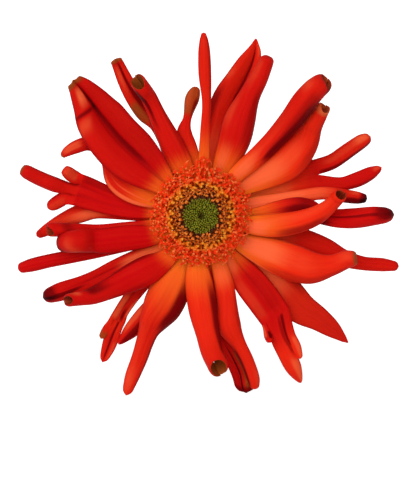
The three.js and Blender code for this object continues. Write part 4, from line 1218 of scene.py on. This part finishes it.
def spiral_tree():
    """The node tree that sets florets in a sunflower spiral between two radii, each on its tube."""
    sizes = ("inner", "outer", "top", "drop", "peak", "root_inner", "root_outer", "root_depth",
             "jitter", "lean", "spin", "switch_at")
    growth = GrowthTree("floret_spiral", florets="Collection", tube="Object", material="Material",
                        count="Int", kinds="Int", seed="Int", **dict.fromkeys(sizes, 0.0))
    g, random = growth.given, growth.random
    seeds = [g.seed + k for k in range(9)]
    index = growth.value("GeometryNodeInputIndex")
    share = (index + 0.5) / g.count
    start = g.inner * g.inner
    area = start + share * (g.outer * g.outer - start)
    radius = growth.math("SQRT", area) + random(g.jitter * -1, g.jitter, seeds[0])
    angle = index * GOLDEN_ANGLE + random(-0.04, 0.04, seeds[1])
    along = (radius - g.inner) / (g.outer - g.inner)
    away = along - g.peak
    depth = g.top - g.drop * (away * away) + random(g.jitter * -0.7, g.jitter * 0.7, seeds[2])
    place = growth.vector(radius * growth.math("COSINE", angle),
                          radius * growth.math("SINE", angle), depth)
    out = radius - (g.root_inner + along * (g.root_outer - g.root_inner))
    rise = depth - g.root_depth
    tilt = growth.math("ARCTAN2", out, rise)
    length = growth.math("SQRT", out * out + rise * rise)
    leaning = tilt * g.lean + random(-0.25, 0.25, seeds[3])
    spin = random(g.spin * -1, g.spin, seeds[4])
    late = growth.math("GREATER_THAN", along + random(-0.15, 0.15, seeds[5]), g.switch_at)
    kind = growth.math("FLOOR", random(0.0, 0.999, seeds[6]) * g.kinds) + late * g.kinds
    size = random(0.82, 1.15, seeds[7])
    forms = growth.value("GeometryNodeCollectionInfo", g.florets, Separate_Children=True,
                         Reset_Children=True)
    tube = growth.value("GeometryNodeObjectInfo", g.tube, out="Geometry")
    dots = growth.value("GeometryNodeSetPosition", growth.value("GeometryNodePoints", g.count),
                        Position=place)
    heads = growth.value(
        "GeometryNodeInstanceOnPoints", dots, Pick_Instance=True, Instance_Index=kind,
        Instance=forms,
        Rotation=growth.spun(growth.turned(0.0, leaning, angle), growth.turned(0.0, 0.0, spin)),
        Scale=growth.vector(size, size, size))
    feet = growth.value(
        "GeometryNodeInstanceOnPoints", dots, Instance=tube,
        Rotation=growth.turned(0.0, tilt, angle), Scale=growth.vector(1.0, 1.0, length / MM))
    joined = growth.node("GeometryNodeJoinGeometry")
    shaded = [growth.value("GeometryNodeStoreNamedAttribute", made, data_type="FLOAT",
                           domain="INSTANCE", Name="shade", Value=random(0.0, 1.0, seeds[8]))
              for made in (heads, feet)]
    for value in shaded:
        growth.feed(joined.inputs[0], value)
    growth.paint(Value(growth, joined.outputs[0]))
    return growth


def grown(name, growth, **values):
    """Runs a node tree once and keeps what it makes as a plain mesh."""
    host = linked(name + "_host", bpy.data.meshes.new(name + "_host"))
    modifier = host.modifiers.new("growth", "NODES")
    modifier.node_group = growth.tree
    for label, value in values.items():
        modifier[growth.identifiers[label]] = value
    host.update_tag()
    bpy.context.view_layer.update()
    graph = bpy.context.evaluated_depsgraph_get()
    mesh = bpy.data.meshes.new_from_object(host.evaluated_get(graph), depsgraph=graph)
    mesh.name = name
    bpy.data.objects.remove(host)
    return mesh


def pull_tuft(mesh, bearing, spread, reach):
    """Draws the outer florets near a bearing outwards by up to reach mm, as a loose tuft."""
    points = np.empty(len(mesh.vertices) * 3)
    mesh.vertices.foreach_get("co", points)
    points = points.reshape(-1, 3)
    radius = np.hypot(points[:, 0], points[:, 1])
    turn = np.degrees(np.arctan2(points[:, 1], points[:, 0])) - bearing
    pull = reach * MM * np.exp(-(turn / spread) ** 2) * smooth(radius / MM, 6.8, 10.8)
    points[:, :2] *= (1 + pull / radius)[:, None]
    mesh.vertices.foreach_set("co", points.ravel())
    mesh.update()


def floret_ring(name, node, slot, forms, material, growth, sizes, tuft=None, **values):
    """One ring of florets, grown by the spiral tree from sizes in mm and set on the head."""
    collection = bpy.data.collections.new(name + "_forms")
    bpy.context.scene.collection.children.link(collection)
    helpers = [form.helper(f"{name}_form_{k}", collection) for k, form in enumerate(forms)]
    tube = tube_form().helper(name + "_tube")
    values |= {label: size * MM for label, size in sizes.items()}
    mesh = grown(name, growth, florets=collection, tube=tube, material=material, **values)
    for helper in (*helpers, tube):
        bpy.data.objects.remove(helper)
    bpy.data.collections.remove(collection)
    if tuft:
        pull_tuft(mesh, *tuft)
    mesh.transform(HEAD.matrix())
    return settle(linked(name, mesh), slot, node)


def floret_material(name, low, high, core, deep, roughness=0.5, ring=None):
    """Floret skin from its darker foot, partly painted shade, to its lighter tip, partly painted
    highlight, with a dark core and a shade of its own.
    """
    made = Material(name, Specular_IOR_Level=0.2, Specular_Tint=(1.0, 0.45, 0.2, 1),
                    Subsurface_Weight=0.25, Subsurface_Radius=(1.0, 0.25, 0.08),
                    Subsurface_Scale=0.0004)
    tip = made.attribute("tip")
    # Darker towards the foot: partly the floret's own colour, partly painted shade in the gaps
    # between florets
    colour = made.mix(made.eased(tip, 0.1, 0.55), deep, low)
    # Lighter towards the tip, more on some florets than on others: partly their own colour, partly
    # painted highlight on the curled lobes
    edge = made.wavered(tip, made.attribute("shade"), 0.35)
    colour = made.mix(made.eased(edge, 0.6, 1.0), colour, high)
    if ring:
        near, far, inner_low, inner_high = ring
        inner = made.mix(made.eased(tip, 0.2, 0.8), inner_low, inner_high)
        colour = made.mix(made.eased(head_radius(made), near, far), inner, colour)
    colour = made.mix(made.attribute("core"), colour, core)
    return made.finish(colour, roughness, relief=made.cells(), strength=0.2, distance=0.00003)


def head_radius(made):
    """How far a point lies from the head's axis, in mm."""
    place = made.place()
    squares = []
    for axis in HEAD.axes[:2]:
        along = made.value("ShaderNodeVectorMath", place, tuple(axis / MM), operation="DOT_PRODUCT",
                           out="Value")
        out = along - float(HEAD.origin @ axis) / MM
        squares.append(out * out)
    return made.math("SQRT", squares[0] + squares[1])


class GERBERA_OT_disc(bpy.types.Operator):
    """Makes the buds, the disc florets and the trans florets in the middle of the head."""

    bl_idname = "gerbera.disc"
    bl_label = "Disc"

    def execute(self, context):
        settings = context.scene.gerbera_disc
        growth = spiral_tree()
        floret_ring(
            "bud_cushion", "disc_buds", "disc_bud", bud_forms(),
            floret_material("bud_skin", (0.2, 0.2, 0.014), (0.31, 0.32, 0.028), (0.12, 0.1, 0.006),
                            (0.15, 0.1, 0.006), 0.6,
                            (0.3, 1.2, (0.03, 0.022, 0.003), (0.07, 0.055, 0.006))),
            growth, dict(inner=0.0, outer=3.75, top=2.5, drop=1.8, root_inner=0.0, root_outer=3.1,
                         root_depth=RECEPTACLE_TOP, jitter=0.04),
            count=settings.buds, kinds=2, peak=0.45, lean=1.0, spin=math.pi, switch_at=NO_SWITCH,
            seed=settings.seed)
        floret_ring(
            "disc_floret_ring", "disc_florets", "disc_floret", disc_forms(),
            floret_material("disc_floret_skin", (0.72, 0.11, 0.008), (0.92, 0.25, 0.04),
                            (0.14, 0.01, 0.003), (0.24, 0.02, 0.002)),
            growth, dict(inner=3.95, outer=6.2, top=2.6, drop=0.8, root_inner=3.5, root_outer=5.2,
                         root_depth=RECEPTACLE_TOP, jitter=0.12),
            count=settings.opened, kinds=2, peak=0.55, lean=1.0, spin=0.6, switch_at=0.45,
            seed=settings.seed)
        floret_ring(
            "trans_floret_ring", "trans_florets", "trans_floret", trans_forms(),
            floret_material("trans_floret_skin", (1, 0.045, 0.006), (1, 0.24, 0.06),
                            (0.95, 0.1, 0.008), (0.9, 0.035, 0.003),
                            ring=(6.8, 8.2, (0.9, 0.16, 0.006), (1, 0.34, 0.03))),
            growth, dict(inner=6.3, outer=10.6, top=2.5, drop=1.3, root_inner=5.3, root_outer=6.5,
                         root_depth=RECEPTACLE_TOP, jitter=0.3),
            tuft=TUFT, count=settings.trans, kinds=4, peak=0.2, lean=0.8, spin=1.6,
            switch_at=NO_SWITCH, seed=settings.seed)
        return {"FINISHED"}


def green_material(name, low, high, tip_colour, sheen=0.15):
    """Green skin with fine lines, lighter ridges and a flushed tip."""
    made = Material(name, Sheen_Weight=sheen, **GREEN_SKIN)
    lines, blotches = made.veins()
    colour = made.layered(
        made.mix(made.eased(lines, 0.2, 0.9), low, high),
        (made.eased(blotches, 0.2, 1.0, 0.0, 0.35), high),
        (made.attribute("flush"), tip_colour))
    return made.finish(colour, roughness=made.eased(blotches, 0.0, 1.0, 0.5, 0.62),
                       relief=lines + made.cells(0.8) * 0.2, strength=0.4, distance=0.00008)


def bract_piece(ring, number, path, thickness, material):
    """One bract, a small pointed green leaf under the petals."""
    places = np.linspace(-1, 1, 13)
    spec = dict(roll=[(0, 30, 30), (1, 30, 30)], folds=[(0, 0, (-20, -30, -20), 0.15)], tip=1.2)
    made = strip(path, spec, places, 26, (0, 0, 1), number + 20 * (ring == "outer"), 0.02)
    trimmed(made, places, spec)
    zero = np.zeros(made["hollow"].shape)
    shares = made["shares"][:, None] + zero
    sheet = Sheet()
    values = dict.fromkeys(Sheet.VALUES, zero) | dict(across=places + zero, reach=20 * shares)
    sheet.add(made["grid"], values)
    shell, faces = sheet.shell(thickness, thinning=0.6, start=0.6)
    values = {name: np.tile(sheet.values[name], 2) for name in ("across", "reach")}
    values["flush"] = np.tile(0.8 * smooth(shares.ravel(), 0.72, 1), 2)
    piece = make_piece(f"{ring}_bract_leaf_{number:02d}", HEAD.place(shell), faces, material,
                       **values)
    return settle(piece, "bract", f"{ring}_bract_{number:02d}")


class GERBERA_OT_bracts(bpy.types.Operator):
    """Makes the two rings of bracts behind the petals."""

    bl_idname = "gerbera.bracts"
    bl_label = "Bracts"

    def execute(self, context):
        settings = context.scene.gerbera_stem
        material = green_material("bract_skin", (0.07, 0.13, 0.012), (0.17, 0.26, 0.04),
                                  (0.22, 0.06, 0.02))
        for k in range(BRACTS_PER_RING):
            for ring, (turn, points) in BRACTS.items():
                bearing = 360 * k / BRACTS_PER_RING + turn
                path = np.array([(bearing, *point) for point in points])
                bract_piece(ring, k + 1, path, settings.bract_thickness, material)
        return {"FINISHED"}


def receptacle_piece(material):
    """The solid cup that the florets grow on."""
    foot, top = -RECEPTACLE_DEPTH, RECEPTACLE_TOP
    profile = [(0, foot), (2.7, foot), (3.05, -10.6), (3.4, -9.8), (4.1, -8.9), (5, -8),
               (5.7, -6.9), (6.3, -5.8), (6.55, -5), (6.6, -4.2), (6.7, -2.4), (7.05, -1.2),
               (7.05, 0), (6.8, 0.4), (6.2, top), (3, top), (0, top)]
    points, faces = lathe(profile, 72)
    angle = np.arctan2(points[:, 1], points[:, 0])
    ribs = 1 + STEM_RIB * np.cos(20 * angle) * smooth(-points[:, 2], 1, 4)
    points[:, :2] *= ribs[:, None] / (1 + STEM_RIB)
    values = dict(across=angle / math.pi * 4, reach=points[:, 2], flush=smooth(points[:, 2], -2, 0))
    piece = make_piece("receptacle_cup", HEAD.place(points), faces, material, **values)
    return settle(piece, "receptacle", "receptacle")


def stem_line():
    """The stem's middle line in mm from the head's centre, as in the solid model."""
    lean = math.radians(HEAD_LEAN)
    back = np.array([0, math.cos(lean), -math.sin(lean)])
    start = back * (RECEPTACLE_DEPTH + STEM_GAP)
    drop = HEAD_HEIGHT - STEM_RADIUS + start[2]
    end = start + (0, math.sqrt(STEM_LENGTH**2 - drop**2), -drop)
    ways = [start, start + 12 * back]
    for sway, along, down in ((1, 0.5, 0.52), (0.7, 0.8, 0.84)):
        ways.append((STEM_SWAY * sway, start[1] + (end[1] - start[1]) * along,
                     start[2] + (end[2] - start[2]) * down))
    ways.append(end)
    shares = np.linspace(0, 1, STEM_STEPS)
    steps = np.linalg.norm(np.diff(catmull(ways, shares), axis=0), axis=1)
    run = np.concatenate([[0], np.cumsum(steps)])
    return catmull(ways, np.interp(np.linspace(0, run[-1], STEM_RINGS), run, shares))


def stem_shell(sides=48):
    """The stem's points, faces and values: a ribbed rod with a slanting cut that shows its pith."""
    line = stem_line()
    along = unit(np.gradient(line, axis=0))
    line[0] -= along[0] * (STEM_GAP - STEM_JOINT)
    right = unit(np.cross(along, (0, 0, 1)))
    up = np.cross(right, along)
    angles = np.linspace(0, 2 * np.pi, sides, endpoint=False)
    points, across, reach, pith = [], [], [], []
    last = len(line) - 1
    slant = -CUT_SLANT * np.sin(angles)
    rings = [(i, 1.0, 0.0) for i in range(last + 1)]
    rings += [(last, 0.97, 0.0), (last, 0.86, 1.0), (last, 0.5, 1.0)]
    for i, size, inner in rings:
        wave = 1 + STEM_RIB * np.cos(9 * angles + 0.01 * i) - STEM_RIB + 0.006 * math.sin(0.21 * i)
        flare = 0.3 * max(0, 1 - i / 6)
        radius = (STEM_RADIUS + flare) * size * (wave if inner == 0 else 1 - STEM_RIB)
        ring = (line[i] + np.outer(radius * np.cos(angles), right[i])
                + np.outer(radius * np.sin(angles), up[i]))
        if i == last:
            ring += np.outer(slant * STEM_RADIUS * size, along[i])
        points.extend(ring)
        across.extend(angles / math.pi * 3)
        reach.extend([i * STEM_LENGTH / last] * sides)
        pith.extend([inner] * sides)
    faces = [(row * sides + k, row * sides + (k + 1) % sides, (row + 1) * sides + (k + 1) % sides,
              (row + 1) * sides + k) for row in range(len(rings) - 1) for k in range(sides)]
    faces = [face[::-1] for face in faces]
    for ring, centre in ((0, line[0]), (len(rings) - 1, line[last])):
        hub = len(points)
        points.append(centre)
        across.append(0)
        reach.append(0)
        pith.append(float(ring > 0))
        pairs = [(ring * sides + k, ring * sides + (k + 1) % sides) for k in range(sides)]
        faces.extend((hub, a, b) if ring == 0 else (hub, b, a) for a, b in pairs)
    return np.array(points), faces, dict(across=across, reach=reach, pith=pith)


def stem_material():
    """Green ribbed skin that turns to pale pith at the cut."""
    made = Material("stem_skin", Sheen_Weight=0.1, **GREEN_SKIN)
    lines, blotches = made.veins(Drift=0.03)
    green = made.layered(
        made.mix(lines, (0.1, 0.17, 0.02), (0.2, 0.29, 0.05)),
        (made.eased(blotches, 0.3, 1.0, 0.0, 0.4), (0.16, 0.16, 0.035)))
    pith = made.mix(blotches, (0.42, 0.48, 0.2), (0.55, 0.56, 0.3))
    return made.finish(made.mix(made.attribute("pith"), green, pith),
                       roughness=made.eased(blotches, 0.0, 1.0, 0.5, 0.6),
                       relief=lines + made.cells(0.8) * 0.2, strength=0.5, distance=0.0001)


def down_tree():
    """The node tree that sets fine hairs all over a surface."""
    growth = GrowthTree("stem_down_growth", skin="Object", hair="Object", material="Material",
                        density=0.0, seed="Int")
    g, random = growth.given, growth.random
    skin, hair = (growth.value("GeometryNodeObjectInfo", form, out="Geometry")
                  for form in (g.skin, g.hair))
    spread = growth.node("GeometryNodeDistributePointsOnFaces", skin, Density=g.density,
                         Seed=g.seed)
    roots, upright = (Value(growth, spread.outputs[label]) for label in ("Points", "Rotation"))
    bent = growth.turned(random(-0.5, 0.5, g.seed), random(-0.5, 0.5, g.seed + 1), 0.0)
    growth.paint(growth.value(
        "GeometryNodeInstanceOnPoints", roots, Instance=hair, Rotation=growth.spun(upright, bent),
        Scale=growth.vector(1.0, 1.0, random(0.5, 1.2, g.seed + 2))))
    return growth


def down_piece(stem, settings):
    """The pale down on the stem."""
    made = Material("down_hair", Roughness=0.6, Specular_IOR_Level=0.2)
    colour = made.mix(0.5, (0.55, 0.6, 0.4), (0.7, 0.72, 0.55))
    made.fill(made.shader, dict(Base_Color=colour))
    form = FloretMesh()
    length = settings.hair_length / MM
    form.turned([(0, -0.05), (0.018, 0), (0.012, length * 0.6), (0, length)], sides=3)
    hair = form.helper("down_hair_form")
    mesh = grown("stem_down", down_tree(), skin=stem, hair=hair, material=made.material,
                 density=settings.hair_density, seed=3)
    bpy.data.objects.remove(hair)
    for vertex in mesh.vertices:
        if vertex.co.z < FLOOR_REACH:
            vertex.co.z = FLOOR_REACH * math.exp(vertex.co.z / FLOOR_REACH - 1)
    return settle(linked("stem_down", mesh), "stem")


class GERBERA_OT_stem(bpy.types.Operator):
    """Makes the receptacle and the cut stem with its down."""

    bl_idname = "gerbera.stem"
    bl_label = "Receptacle and stem"

    def execute(self, context):
        settings = context.scene.gerbera_stem
        receptacle_piece(green_material("receptacle_skin", (0.12, 0.19, 0.025), (0.24, 0.33, 0.08),
                                        (0.26, 0.06, 0.005), sheen=0))
        points, faces, values = stem_shell()
        stem = make_piece("cut_stem", HEAD.origin + MM * points, faces, stem_material(), **values)
        stem.data.set_sharp_from_angle(angle=math.radians(40))
        down_piece(stem, settings)
        settle(stem, "stem", "stem")
        return {"FINISHED"}


class GERBERA_OT_stage(bpy.types.Operator):
    """Makes the pale floor, the soft lights and the camera."""

    bl_idname = "gerbera.stage"
    bl_label = "Stage"

    def execute(self, context):
        settings = context.scene.gerbera_stage
        make_floor(settings)
        make_lights(settings)
        make_camera(context.scene)
        return {"FINISHED"}


def make_floor(settings):
    """A large pale floor under the flower."""
    half = settings.floor_size / 2
    corners = [(-half, -half, 0), (half, -half, 0), (half, half, 0), (-half, half, 0)]
    paper = Material("pale_paper", Roughness=0.9, Specular_IOR_Level=0.1,
                     Emission_Color=(1, 1, 1, 1))
    grain = paper.noise(paper.place(), 900, 3)
    paper.fill(paper.shader, dict(
        Base_Color=paper.mix(grain, (0.9, 0.9, 0.9), (0.93, 0.93, 0.93)),
        Emission_Strength=paper.value("ShaderNodeLightPath", out="Is Camera Ray") * 0.8))
    floor = make_piece("floor", corners, [(0, 1, 2, 3)], paper.material)
    floor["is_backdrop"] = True


def make_lights(settings):
    """A soft key from above on the left, a wide fill from the front, and light all round."""
    for name, strength, spread, way in (
        ("key", settings.key_strength, 70, (0.42, 0.75, -0.6)),
        ("fill", settings.fill_strength, 70, (-0.35, 0.9, -0.25)),
    ):
        lamp = bpy.data.lights.new(name, "SUN")
        lamp.energy = strength
        lamp.angle = math.radians(spread)
        lamp.color = (1, 0.985, 0.965)
        light = linked(name, lamp)
        light.rotation_mode = "QUATERNION"
        light.rotation_quaternion = Vector(way).to_track_quat("-Z", "Y")
    world = bpy.data.worlds.new("studio")
    world.use_nodes = True
    sky = world.node_tree.nodes["Background"]
    sky.inputs["Color"].default_value = (0.97, 0.98, 1, 1)
    sky.inputs["Strength"].default_value = settings.sky_strength
    bpy.context.scene.world = world


def make_camera(scene):
    """A long lens square on to the head, framed as the picture."""
    data = bpy.data.cameras.new("camera")
    data.lens = LENS
    data.sensor_width = SENSOR
    data.clip_end = 20
    distance = PICTURE[1] * PIXEL * MM * LENS / SENSOR
    shift = ((PICTURE[0] / 2 - HEAD_PIXEL[0]) * PIXEL, (HEAD_PIXEL[1] - PICTURE[1] / 2) * PIXEL)
    spot = HEAD.place((*shift, distance / MM))
    scene.camera = linked("camera", data)
    scene.camera.matrix_world = HEAD.matrix(spot)
    scene.view_settings.view_transform = "Standard"


class GERBERA_PT_panel(bpy.types.Panel):
    """Lists the steps that make the flower."""

    bl_idname = "GERBERA_PT_panel"
    bl_label = "Gerbera"
    bl_space_type = "VIEW_3D"
    bl_region_type = "UI"
    bl_category = "Gerbera"

    def draw(self, context):
        for step in STEPS:
            self.layout.operator(step.bl_idname)


STEPS = (GERBERA_OT_stage, GERBERA_OT_ray_petals, GERBERA_OT_disc, GERBERA_OT_bracts,
         GERBERA_OT_stem)
SETTINGS = {
    "gerbera_petals": GerberaPetalSettings,
    "gerbera_disc": GerberaDiscSettings,
    "gerbera_stem": GerberaStemSettings,
    "gerbera_stage": GerberaStageSettings,
}


def register():
    for kind in (*SETTINGS.values(), *STEPS, GERBERA_PT_panel):
        bpy.utils.register_class(kind)
    for name, kind in SETTINGS.items():
        setattr(bpy.types.Scene, name, PointerProperty(type=kind))


def unregister():
    for name in SETTINGS:
        delattr(bpy.types.Scene, name)
    for kind in (GERBERA_PT_panel, *reversed(STEPS), *SETTINGS.values()):
        bpy.utils.unregister_class(kind)


def main():
    """Makes every piece in order."""
    register()
    veins_group()
    skin_cells_group()
    for step in STEPS:
        area, name = step.bl_idname.split(".")
        getattr(getattr(bpy.ops, area), name)()
    boxes = [[list(corner) for corner in box] for box in (CAD_BOX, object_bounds())]


if __name__ == "__main__":
    main()
